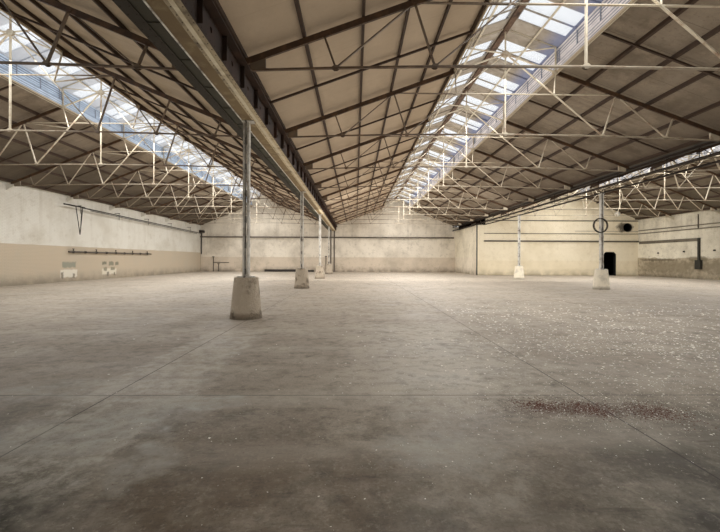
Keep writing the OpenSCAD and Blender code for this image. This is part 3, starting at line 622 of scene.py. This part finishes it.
def floor_concrete():
    """Stained concrete: painted shade at the dark front and its corners, painted light towards the pale back,
    two worn tracks, a painted sheen, mottling and saw cuts.
    """
    s = Shader("concrete", rgb(150, 138, 120), 0.75)
    s.b.inputs["Specular IOR Level"].default_value = 0.3
    x, y, _ = s.axes()
    # Painted shade at the front and painted light towards the back
    s.paint = s.ramp(y, -HALF_L, CROSS_Y, FLOOR_SHADE_RUN)
    # Painted shade: dark places at the front of the floor and in its corners
    olive = s.times(s.most(s.span(x, -2.6, -3.3), s.span(x, -1.75, -0.9)), s.span(y, -8.0, -9.35))
    s.lay(s.times(olive, 0.8), rgb(62, 60, 46))
    front = s.times(s.span(x, -1.9, -1.4), s.span(y, -8.9, -9.3, 0, 0.75))
    corner = s.times(s.span(x, -2.85, -3.15), s.span(y, -9.14, -9.27, 0, 0.85))
    side = s.times(s.span(x, -1.5, -1.15), s.span(y, -8.3, -9.0, 0, 0.55))
    s.lay(s.most(front, s.most(corner, side)), rgb(48, 46, 37))
    s.lay(s.times(s.within(x, -3.1, -2.2, 0.1), s.span(y, -8.6, -9.1, 0, 0.45)), rgb(96, 76, 52))
    # Painted sheen: a highlight where the floor reflects the lantern light
    sheen = s.times(s.within(x, -2.1, -1.2, 0.35), s.within(y, -8.4, -6.0, 0.3))
    s.lay(s.times(sheen, 0.6), rgb(206, 197, 180))
    s.mottle(s.mix(0.55, s.paint, rgb(84, 76, 64)), 0.45, 0.42, 0.72, 0.55, 6, 0.62)
    for layer in FLOOR_MOTTLE:
        s.mottle(*layer)
    s.mottle(rgb(198, 189, 172), 0.3, 0.52, 0.75, 1.0, 4, vec=s.stretch(0.5, 3.2, 1))
    s.mottle(rgb(66, 58, 48), 0.5, 0.58, 0.7, 1.0, 5, 0.7, s.stretch(3, 16, 1))
    wobble = s.plus(x, s.span(s.noise(5.0, 7, 0.7), 0, 1, -0.22, 0.22))
    left_track = s.times(s.within(wobble, -3.72, -3.16, 0.03), s.within(y, -9.2, -6.4, 0.1))
    right_track = s.times(s.within(wobble, -2.1, -1.7, 0.1), s.within(y, -9.3, -7.6, 0.1))
    broken = s.span(s.noise(9.0, 8, 0.8), 0.44, 0.58, 0.25, 1)
    tracks = s.times(s.most(left_track, s.times(right_track, 0.6)), broken)
    s.lay(s.times(tracks, 0.62), rgb(190, 184, 170))
    cuts = [s.below(s.math("PINGPONG", s.minus(axis, at), spacing / 2), CUT_W / 2)
            for axis, (at, spacing) in zip((x, y), CUTS)]
    joints = s.most(*cuts)
    s.lay(s.times(joints, 0.85), rgb(52, 45, 38))
    for pale_x, pale_y, rx, ry, amount in FLOOR_PALE_PATCHES:
        pale_patch = s.spot((pale_x, pale_y, FLOOR), (rx, ry, 1), 0.6, 1.1, 9.0)
        pale_patch = s.times(pale_patch, s.span(s.noise(12, 5, 0.7), 0.3, 0.6))
        s.lay(s.times(pale_patch, amount), rgb(176, 174, 164))
    rust = s.spot((-1.13, -8.5, FLOOR), (0.42, 0.08, 1), 0.6, 1.3, 14.0)
    s.lay(s.times(rust, 0.4), rgb(80, 58, 42))
    s.put(s.b.inputs["Roughness"], s.span(s.noise(1.6, 5, 0.6), 0.35, 0.7, 0.6, 0.85))
    grain = s.plus(s.noise(9, 6, 0.7), s.times(s.noise(80, 4, 0.8), 0.35))
    s.bump(s.plus(grain, s.times(joints, -0.6)), 0.3, 0.006)
    return paint_room_shade(s)


clear_m = Shader("clear_sheet", rgb(240, 246, 252), 0.45, 0.0, 0.22)
clear_m.b.inputs["IOR"].default_value = 1.45
TRUSS = {key: truss_paint(f"truss_{key}", x, heel) for key, x, heel, _ in AISLES}
LOUVRE_TONES = (rgb(206, 222, 240), rgb(238, 230, 228), rgb(246, 244, 244))
LOUVRE = {key: louvre_paint(f"louvre_{key}", heel, tone)
          for (key, _, heel, _), tone in zip(AISLES, LOUVRE_TONES)}
cross_m = cross_wall()
back_m = paint_room_shade(masonry("wall_back", rgb(222, 212, 194), rgb(204, 189, 168), 0.95, rgb(150, 138, 120)))
girder_m = worn("girder_steel", rgb(38, 25, 14), rgb(24, 16, 10), rgb(62, 42, 26), 4, 0.8, amount=0.8)
purlin_m = worn("purlin_steel", rgb(66, 48, 34), rgb(42, 32, 24), scale=4, rough=0.8, amount=0.7)
louvre_m = worn("mullion", rgb(150, 156, 168), rgb(110, 112, 118), scale=4, rough=0.6)
sheet_m = lantern_sheet()
ridge_m = worn("ridge_cap", rgb(96, 72, 54), rgb(52, 36, 26), rgb(150, 128, 104), 6, 0.8, amount=1.0)
rail_m = worn("rail", rgb(112, 104, 90), rgb(72, 62, 50), scale=5, rough=0.65, amount=0.7)
dark_m = worn("dark_steel", rgb(48, 42, 36), rgb(28, 24, 20), scale=8, rough=0.7, amount=0.6)

BY_SLOT = {
    "concrete": floor_concrete(), "plinth": plinth_concrete(),
    "wall": paint_room_shade(masonry("wall", rgb(228, 218, 194), rgb(226, 214, 192), 0.95, rgb(160, 146, 122))),
    "column_steel": column_paint(), "girder_steel": girder_m, "casing": casing_paint(),
    "gutter": worn("gutter", rgb(52, 48, 42), rgb(34, 31, 27), scale=3, rough=0.6, metal=0.2),
    "purlin_steel": purlin_m, "roof_board": roof_boards(), "louvre": louvre_m, "sheet": sheet_m,
    "clear_sheet": clear_m, "ridge_cap": ridge_m, "rail": rail_m,
    "pipe": worn("pipe", rgb(88, 80, 70), rgb(52, 44, 36), scale=6, rough=0.6, amount=0.7),
    "duct": worn("duct", rgb(44, 42, 34), rgb(22, 21, 17), scale=5, rough=0.7, amount=0.7),
}
SPECIAL = {
    "left_wall": left_wall(), "right_wall": right_wall(), "back_wall": back_m, "back_gables": back_m,
    "cross_wall": cross_m, "cross_wall_over": cross_m, "cross_gable": cross_m,
    "left_valley_girders": plate_girder_paint(),
    **{f"{key}_trusses": shader for key, shader in TRUSS.items()},
    **{f"{key}_louvres": shader for key, shader in LOUVRE.items()},
}
SLOT_OF = {p["node"]: p["material_slot"] for p in frame["record"]["subparts"]}
for name, o in NODES.items():
    shader = SPECIAL.get(name) or BY_SLOT[SLOT_OF[name]]
    o.data.materials.clear()
    o.data.materials.append(shader.m)

# ---------------------------------------------------------------- steelwork details

# Feet on the tie and heads on the rafter of the struts, as shares of the way from heel to ridge
STRUTS = {CENTRE_HEEL: ((0.265, 0.23), (0.555, 0.495)),
          SIDE_HEEL: ((0.152, 0.124), (0.395, 0.336), (0.64, 0.565))}
GUSSET_T = 0.006
GUSSET_BACKS = (-TRUSS_T / 2 - 0.0055, TRUSS_T / 2 - 0.0005)   # in y from the truss line, let in by 0.5 mm


def rafter(heel, u):
    return heel * (1 - u), HEEL_Z + heel * u * run(heel)


def tie(heel, u):
    return heel * (1 - u), TIE_Z + CAMBER * u * (2 - u)


def disc(cx, cz, rx, rz, n=8, turn=0.39):
    return [(cx + rx * math.cos(turn + k * math.tau / n), cz + rz * math.sin(turn + k * math.tau / n))
            for k in range(n)]


def in_cross_wall(x, y, reach):
    return x > 0 and abs(y - CROSS_Y) < reach


for key, x, heel, _ in AISLES:
    gussets = Parts()
    spots = [(*tie(heel, foot), 0.036, 0.024) for foot, _ in STRUTS[heel]]
    spots += [(*rafter(heel, head), 0.042, 0.03) for _, head in STRUTS[heel]]
    spots.append((*rafter(heel, 1 - (LANTERN - 0.032) / heel), 0.045, 0.036))
    outlines = [disc(x + side * d, z, rx, rz) for d, z, rx, rz in spots for side in (-1, 1)]
    outlines += [disc(x, rafter(heel, 1)[1] - 0.01, 0.06, 0.05), disc(x, tie(heel, 1)[1], 0.04, 0.03)]
    for y in LINES:
        if not in_cross_wall(x, y, 0.1):
            for back in GUSSET_BACKS:
                for outline in outlines:
                    gussets.plate(outline, y + back, GUSSET_T)
    gussets.make(f"gussets_{key}", TRUSS[key], "truss_steel")

# Light rafters between the trusses, under the purlins
battens = Parts()
for _, x, heel, _ in AISLES:
    for n in range(12):
        y = HALF_L - (n + 0.5) * BAY
        if not in_cross_wall(x, y, 0.3):
            for side in (-1, 1):
                ends = [(x + side * d, y, slope_z(heel, d, 0.017)) for d in (LANTERN + 0.02, heel - 0.02)]
                battens.beam(*ends, 0.028, 0.024)
battens.make("mid_bay_battens", purlin_m, "purlin_steel")

# Lanterns: mullions of the louvres, rails along their feet, bars and purlins under the sheets, ridge boards
RAIL_IN, RAIL_DOWN, PURLIN_X = 0.026, 0.035, 0.42
mullions, foot_rails, bars, purlins, ridge_boards = Parts(), Parts(), Parts(), Parts(), Parts()
for _, x, heel, end in AISLES:
    foot, top, ridge = eave_z(heel) - LOUVRE_H, eave_z(heel), lantern_z(heel, 0)
    stations = [-HALF_L + BAY / 4 * k for k in range(1, int((end + HALF_L) / (BAY / 4)))]
    stations += [y + dy for y in LINES for dy in (-0.05, 0.05) if y < end - 0.1]
    for y in stations:
        for side in (-1, 1):
            face = x + side * (LANTERN + 0.001)
            x0, x1 = sorted((face, face + side * 0.014))
            mullions.box((x0, y - 0.007, foot), (x1, y + 0.007, top - 0.02))
    y = -HALF_L + BAY / 4
    while y < end:
        for side in (-1, 1):
            ends = [(x + side * d, y, lantern_z(heel, d) - 0.012) for d in (0.05, LANTERN)]
            bars.beam(*ends, 0.014, 0.02)
        y += BAY / 4
    for side in (-1, 1):
        rail_x, rail_z = x + side * (LANTERN - RAIL_IN), foot - CURB_H - RAIL_DOWN
        foot_rails.tube([(rail_x, y, rail_z) for y in (-HALF_L, end)], 0.007, 6)
        purlin_z = lantern_z(heel, PURLIN_X) - 0.026
        purlins.beam(*[(x + side * PURLIN_X, y, purlin_z) for y in (-HALF_L, end)], 0.03, 0.012)
    ridge_boards.box((x - 0.04, -HALF_L, ridge - 0.06), (x + 0.04, end, ridge - 0.014))
bar_m = worn("lantern_rails", rgb(200, 188, 164), rgb(140, 118, 90), scale=6, rough=0.7, amount=0.6)
mullions.make("louvre_mullions", louvre_m, "louvre")
foot_rails.make("lantern_rails", bar_m, "louvre")
bars.make("lantern_bars", sheet_m, "sheet")
purlins.make("lantern_purlins", bar_m, "louvre")
ridge_boards.make("lantern_ridge_boards", ridge_m, "ridge_cap")

rivets = Parts()
RIVET_R, RIVET_STEP = 0.006, 0.09


def rivet(foot, out):
    """A cone with its foot round a point and its tip outwards."""
    foot, out = Vector(foot), Vector(out)
    u = out.orthogonal().normalized()
    tip = foot + out * RIVET_R * 0.7
    rivets.add(ring(foot, u, out.cross(u), RIVET_R, 6) + [tip],
               [(k, (k + 1) % 6, 6) for k in range(6)] + [(5, 4, 3, 2, 1, 0)])


for web, flange in ((OUTER_WEB, OUTER_FLANGE), (INNER_WEB, INNER_FLANGE)):
    for k in range(int(HALF_L * 2 / RIVET_STEP)):
        y = -HALF_L + 0.05 + k * RIVET_STEP
        for face in (-1, 1):
            for z in (GIRDER_Z + 0.022, GIRDER_TOP - 0.022):
                rivet((web + face * 0.0051, y, z), (face, 0, 0))
        for x in (flange[0] + 0.02, flange[1] - 0.02):
            rivet((x, y, GIRDER_Z - 0.0003), (0, 0, -1))
rivets.make("girder_rivets", girder_m, "girder_steel")

# Strips of paint left under the casing: name, x from and to, colours, scale, amount
for name, x0, x1, colors, scale, amount in (
        ("casing_stripe", -3.507, -3.471, (rgb(206, 194, 166), rgb(150, 130, 98), rgb(226, 218, 196)), 5, 0.7),
        ("casing_edge", CASING[0], CASING[0] + 0.014,
         (rgb(214, 210, 198), rgb(74, 58, 42), rgb(236, 232, 222)), 9, 1.0)):
    strip = Parts()
    strip.box((x0, -HALF_L, GIRDER_Z - 0.006), (x1, HALF_L, GIRDER_Z + 0.001))
    strip.make(name, worn(name, *colors, scale, 0.7, amount=amount), "casing")

# ---------------------------------------------------------------- pipes and small fittings

fit = Parts()
# Left wall: pipes with their brackets and hangers, a hanging frame, and the clamps of the low pipe
PIPE_X, LOW_X = -11.085, -HALF_W + 0.056
for points, r in ((((1.79, 2.466), (2.7, 2.466)), 0.024), (((2.6, 2.45), (11.9, 2.29), (12.6, 2.27)), 0.02),
                  (((3.0, 2.40), (11.9, 2.23)), 0.012)):
    fit.tube([(PIPE_X, y, z) for y, z in points], r)
for y in (2.5, 4.6, 6.7, 8.8, 11.0):
    fit.box((-HALF_W, y - 0.01, 2.49), (PIPE_X + 0.03, y + 0.01, 2.51))
    fit.box((PIPE_X - 0.006, y - 0.006, 2.25), (PIPE_X + 0.006, y + 0.006, 2.5))
for top_y, foot_y, foot_z, r in ((2.25, 2.45, 1.58, 0.012), (2.57, 2.45, 1.58, 0.012),
                                 (2.52, 2.46, 1.6, 0.009)):
    fit.tube([(PIPE_X + 0.03, top_y, 2.46), (PIPE_X + 0.03, foot_y, foot_z)], r)
for k in range(9):
    y = 2.35 + k * 0.56
    fit.tube([(LOW_X, y - 0.03, 1.025), (LOW_X, y + 0.03, 1.025)], 0.04)
    if k % 2 == 0:
        fit.tube([(LOW_X, y, 1.03), (LOW_X, y, 1.12)], 0.012)
        fit.tube([(LOW_X, y - 0.03, 1.12), (LOW_X, y + 0.03, 1.12)], 0.014)
# Back wall: corner pipe and box, two low boxes, three posts with caps, and a bar
BACK_Y = HALF_L - 0.06
fit.tube([(-HALF_W + 0.06, BACK_Y, 1.1), (-HALF_W + 0.06, BACK_Y, 2.45)], 0.03)
fit.box((-HALF_W, HALF_L - 0.28, 2.33), (-HALF_W + 0.22, HALF_L, 2.47))
fit.box((-7.55, HALF_L - 0.08, FLOOR), (-5.69, HALF_L, 0.235))
fit.box((-5.2, HALF_L - 0.07, FLOOR), (-4.7, HALF_L, 0.2))
for x, z in ((-10.5, 0.95), (-10.2, 0.55), (-4.0, 1.0)):
    fit.tube([(x, BACK_Y, FLOOR), (x, BACK_Y, z)], 0.02)
    fit.tube([(x - 0.06, HALF_L - 0.08, z), (x + 0.06, HALF_L - 0.08, z)], 0.022)
fit.tube([(-10.5, BACK_Y, 0.62), (-9.6, BACK_Y, 0.62)], 0.015)
# Cross wall: a wire. Right wall: two drops from the rails, and sockets
fit.tube([(8.2, CROSS_Y - 0.02, 2.22), (HALF_W, CROSS_Y - 0.02, 2.22)], 0.006)
for y in (5.2, -0.6):
    fit.tube([(HALF_W - 0.03, y, 2.1), (HALF_W - 0.03, y, 2.66)], 0.016)
for y, z in ((7.3, 1.16), (5.9, 1.2), (4.5, 1.22), (3.6, 1.2)):
    fit.box((HALF_W - 0.03, y - 0.04, z - 0.03), (HALF_W, y + 0.04, z + 0.03))
fit.make("wall_fittings", dark_m, "pipe")

# Ledge and conduit on the cross wall
ledge = Parts()
ledge.box((VALLEY + 0.29, CROSS_Y - 0.03, GIRDER_TOP - 0.03), (HALF_W, CROSS_Y, GIRDER_TOP + 0.012))
ledge.box((VALLEY + 0.3, CROSS_Y - 0.012, 3.234), (HALF_W - 0.3, CROSS_Y, 3.246))
ledge.make("cross_wall_ledge", rail_m, "rail")

# More turns of the ring on the second right column
RING_X, RING_Y, RING_Z, RING_R = 3.8095, -0.516, 1.69, 0.18
coil = Parts()
for dy, dr in ((-0.02, 0.0), (0.02, -0.006), (-0.034, -0.01)):
    r = RING_R + dr
    coil.tube([(RING_X + r * math.cos(a), RING_Y + dy, RING_Z + r * math.sin(a))
               for a in np.linspace(0, math.tau, 41)], 0.008, 6)
coil.make("ring_turns", dark_m, "pipe", smooth=True)

# Ball lamp on the cross gable, and the switch box on the right column at COLUMN_Y
LAMP = (10.114, CROSS_Y - 0.2, 3.02)
COLUMN_Y = -5.5
ball = bpy.data.meshes.new("ball_lamp")
bm = bmesh.new()
bmesh.ops.create_uvsphere(bm, u_segments=20, v_segments=12, radius=0.12, matrix=Matrix.Translation(LAMP))
bm.to_mesh(ball)
bm.free()
piece("ball_lamp", ball, Shader("opal", rgb(238, 236, 226), 0.25), smooth=True)
stem = Parts()
stem.tube([(LAMP[0], LAMP[1], LAMP[2] + 0.11), (LAMP[0], LAMP[1], 3.35)], 0.012)
stem.box((RIGHT_ROW - 0.06, COLUMN_Y - 0.1, 1.02), (RIGHT_ROW + 0.06, COLUMN_Y - 0.035, 1.3))
stem.tube([(RIGHT_ROW, COLUMN_Y - 0.05, 1.3), (RIGHT_ROW, COLUMN_Y - 0.05, 2.4)], 0.01)
stem.make("lamp_stem_and_switch_box", dark_m, "pipe")

# ---------------------------------------------------------------- chips and rust flakes on the floor

rng = random.Random(7)
FLAKE_FACES = [(0, 1, 4), (1, 2, 4), (2, 3, 4), (3, 0, 4), (3, 2, 1, 0)]


def flakes(name, shader, count, place, lo, hi):
    """Low pyramids lo to hi in half length, turned at random."""
    p = Parts()
    z = FLOOR - 0.0005
    for _ in range(count):
        x, y = place()
        s = rng.uniform(lo, hi)
        a = rng.uniform(0, math.tau)
        c, q = math.cos(a) * s, math.sin(a) * s
        k = rng.uniform(0.4, 0.9)
        h = s * rng.uniform(0.1, 0.3)
        p.add([(x + c, y + q, z), (x - q * k, y + c * k, z), (x - c * 0.8, y - q * 0.8, z),
               (x + q * k * 0.7, y - c * k * 0.7, z), (x + c * 0.2, y + q * 0.1, z + h)], FLAKE_FACES)
    p.make(name, shader, "concrete")


def cloud(cx, cy, sx, sy):
    """Places gathered round a point, kept inside the hall."""
    return lambda: (min(11.2, max(-11.2, rng.gauss(cx, sx))), min(12.8, max(-12.8, rng.gauss(cy, sy))))


def spread(x0, x1, y0, y1):
    """Places spread evenly over a rectangle."""
    return lambda: (rng.uniform(x0, x1), rng.uniform(y0, y1))


def heap():
    """Places along the heap of rust flakes, thicker in three spots."""
    t = rng.choice((rng.uniform(0, 1), rng.gauss(0.2, 0.06), rng.gauss(0.46, 0.05), rng.gauss(0.84, 0.08)))
    t = min(1.0, max(0.0, t))
    return -1.52 + 0.78 * t + rng.gauss(0, 0.03), -8.42 - 0.13 * t + rng.gauss(0, 0.04 + 0.03 * t)


chip_m = worn("chips", rgb(254, 249, 236), rgb(206, 196, 176), scale=30, rough=0.9)
flake_m = worn("rust_flakes", rgb(92, 50, 31), rgb(46, 27, 18), scale=40, rough=0.9)
for name, shader, count, place, lo, hi in (
        ("paint_chips_bay", chip_m, 2400, cloud(-0.6, -8.3, 0.7, 0.35), 0.002, 0.008),
        ("paint_chips_middle", chip_m, 2800, cloud(0.3, -7.1, 1.1, 0.6), 0.004, 0.015),
        ("paint_chips_far", chip_m, 2600, lambda: (rng.uniform(-1.0, 9), rng.gauss(-5.4, 0.9)), 0.006, 0.026),
        ("paint_chips_all", chip_m, 1800, spread(-11, 11, -12.6, 8.4), 0.003, 0.014),
        ("paint_chips_patch", chip_m, 2000, cloud(-1.1, -8.5, 0.35, 0.12), 0.002, 0.006),
        ("paint_chips_near", chip_m, 420, spread(-4.2, -0.4, -9.4, -7.4), 0.003, 0.007),
        ("rust_flakes", flake_m, 5200, heap, 0.002, 0.009),
        ("dirt_flakes", flake_m, 1500, lambda: (rng.gauss(-3.2, 0.22), rng.gauss(-8.7, 0.28)), 0.0015, 0.005),
        ("grit_right", chip_m, 900, lambda: (rng.gauss(-1.95, 0.16), rng.gauss(-8.85, 0.2)), 0.001, 0.004)):
    flakes(name, shader, count, place, lo, hi)

# ---------------------------------------------------------------- light, ground and camera

scene.view_settings.view_transform = "Standard"
scene.world = bpy.data.worlds.new("sky")
scene.world.use_nodes = True
sky = scene.world.node_tree.nodes["Background"].inputs
sky[0].default_value = (0.93, 0.96, 1.0, 1)
sky[1].default_value = 1.0
DAYLIGHT, WARM = (0.98, 0.985, 1.0), (0.99, 0.975, 0.955)


def area(name, at, sx, sy, power, color, down=True, glossy=True):
    """A rectangular lamp that the camera doesn't see."""
    lamp = bpy.data.lights.new(name, "AREA")
    lamp.shape, lamp.size, lamp.size_y = "RECTANGLE", sx, sy
    lamp.energy, lamp.color = power, color
    o = add_object(name, lamp)
    o.location = at
    if not down:
        o.rotation_euler = (math.pi, 0, 0)
    o.visible_camera = False
    o.visible_glossy = glossy
    return o


# Daylight through the lanterns gets brighter towards the back: y from and to, watts for each metre
LIT = ((-12.8, -9.2, 3.0), (-9.2, -8.0, 8.0), (-8.0, -3.0, 18.0), (-3.0, 3.0, 29.0), (3.0, 11.6, 31.0))
LAMP_W = 1.3
for n, (_, x, heel, end) in enumerate(AISLES):
    curb_foot = eave_z(heel) - LOUVRE_H - CURB_H
    for k, (y0, y1, watts) in enumerate(LIT):
        y1 = min(y1, end - 1.3)
        area(f"lantern_light_{n}_{k}", (x, (y0 + y1) / 2, curb_foot - 0.1), LAMP_W, y1 - y0, watts * (y1 - y0),
             DAYLIGHT)
    length, middle = end + HALF_L, (end - HALF_L - 1.0) / 2
    area(f"lantern_fill_{n}", (x, middle, curb_foot - 0.08), LAMP_W, length - 1.2, 3.2 * length, DAYLIGHT,
         down=False, glossy=False)

# Lamps that stand for the light the floor and the walls throw back
BOUNCE = ((-12.8, -7.5, 9.0), (-7.5, -1.0, 22.0), (-1.0, CROSS_Y, 24.0))
for k, (y0, y1, watts) in enumerate(BOUNCE):
    area(f"floor_bounce_{k}", (0, (y0 + y1) / 2, 0.16), 22.3, y1 - y0, watts * (y1 - y0), WARM,
         down=False, glossy=False)
area("floor_bounce_back", (-3.9, 10.8, 0.16), 14.5, 4.0, 85, WARM, down=False, glossy=False)
wash = area("wall_wash", (0.0, 3.0, 2.0), 15.0, 0.6, 180, WARM, glossy=False)
wash.rotation_euler = (math.radians(82), 0, 0)

sun = bpy.data.lights.new("sun", "SUN")
sun.energy, sun.angle = 1.2, 0.35
add_object("sun", sun).rotation_euler = (math.radians(38), math.radians(12), math.radians(35))

GROUND = 90
ground = Parts()
ground.add([(x * GROUND, y * GROUND, -0.002) for x, y in ((-1, -1), (1, -1), (1, 1), (-1, 1))], [(0, 1, 2, 3)])
ground_o = add_object("ground", ground.mesh("ground"))
ground_o.data.materials.append(Shader("ground", (0.82, 0.82, 0.81), 0.9).m)

# The photo's camera: 400 px focal length, its centre a few pixels off the middle of the picture
PHOTO_WIDTH = 720
CAMERA_AT = Vector((-2.285, -10.4, 0.815))
YAW, ROLL = math.radians(0.75), math.radians(0.22)
cam = bpy.data.cameras.new("camera")
cam.sensor_width, cam.lens = 36.0, 20.0
cam.shift_x, cam.shift_y = -0.74 / PHOTO_WIDTH, -6.32 / PHOTO_WIDTH
cam.clip_start, cam.clip_end = 0.02, 400
ahead = Vector((math.sin(YAW), math.cos(YAW), 0))
level, plumb = Vector((math.cos(YAW), -math.sin(YAW), 0)), Vector((0, 0, 1))
right = level * math.cos(ROLL) + plumb * math.sin(ROLL)
up = plumb * math.cos(ROLL) - level * math.sin(ROLL)
camera_o = add_object("camera", cam)
camera_o.matrix_world = Matrix([*zip(right, up, -ahead, CAMERA_AT), (0, 0, 0, 1)])
scene.camera = camera_o
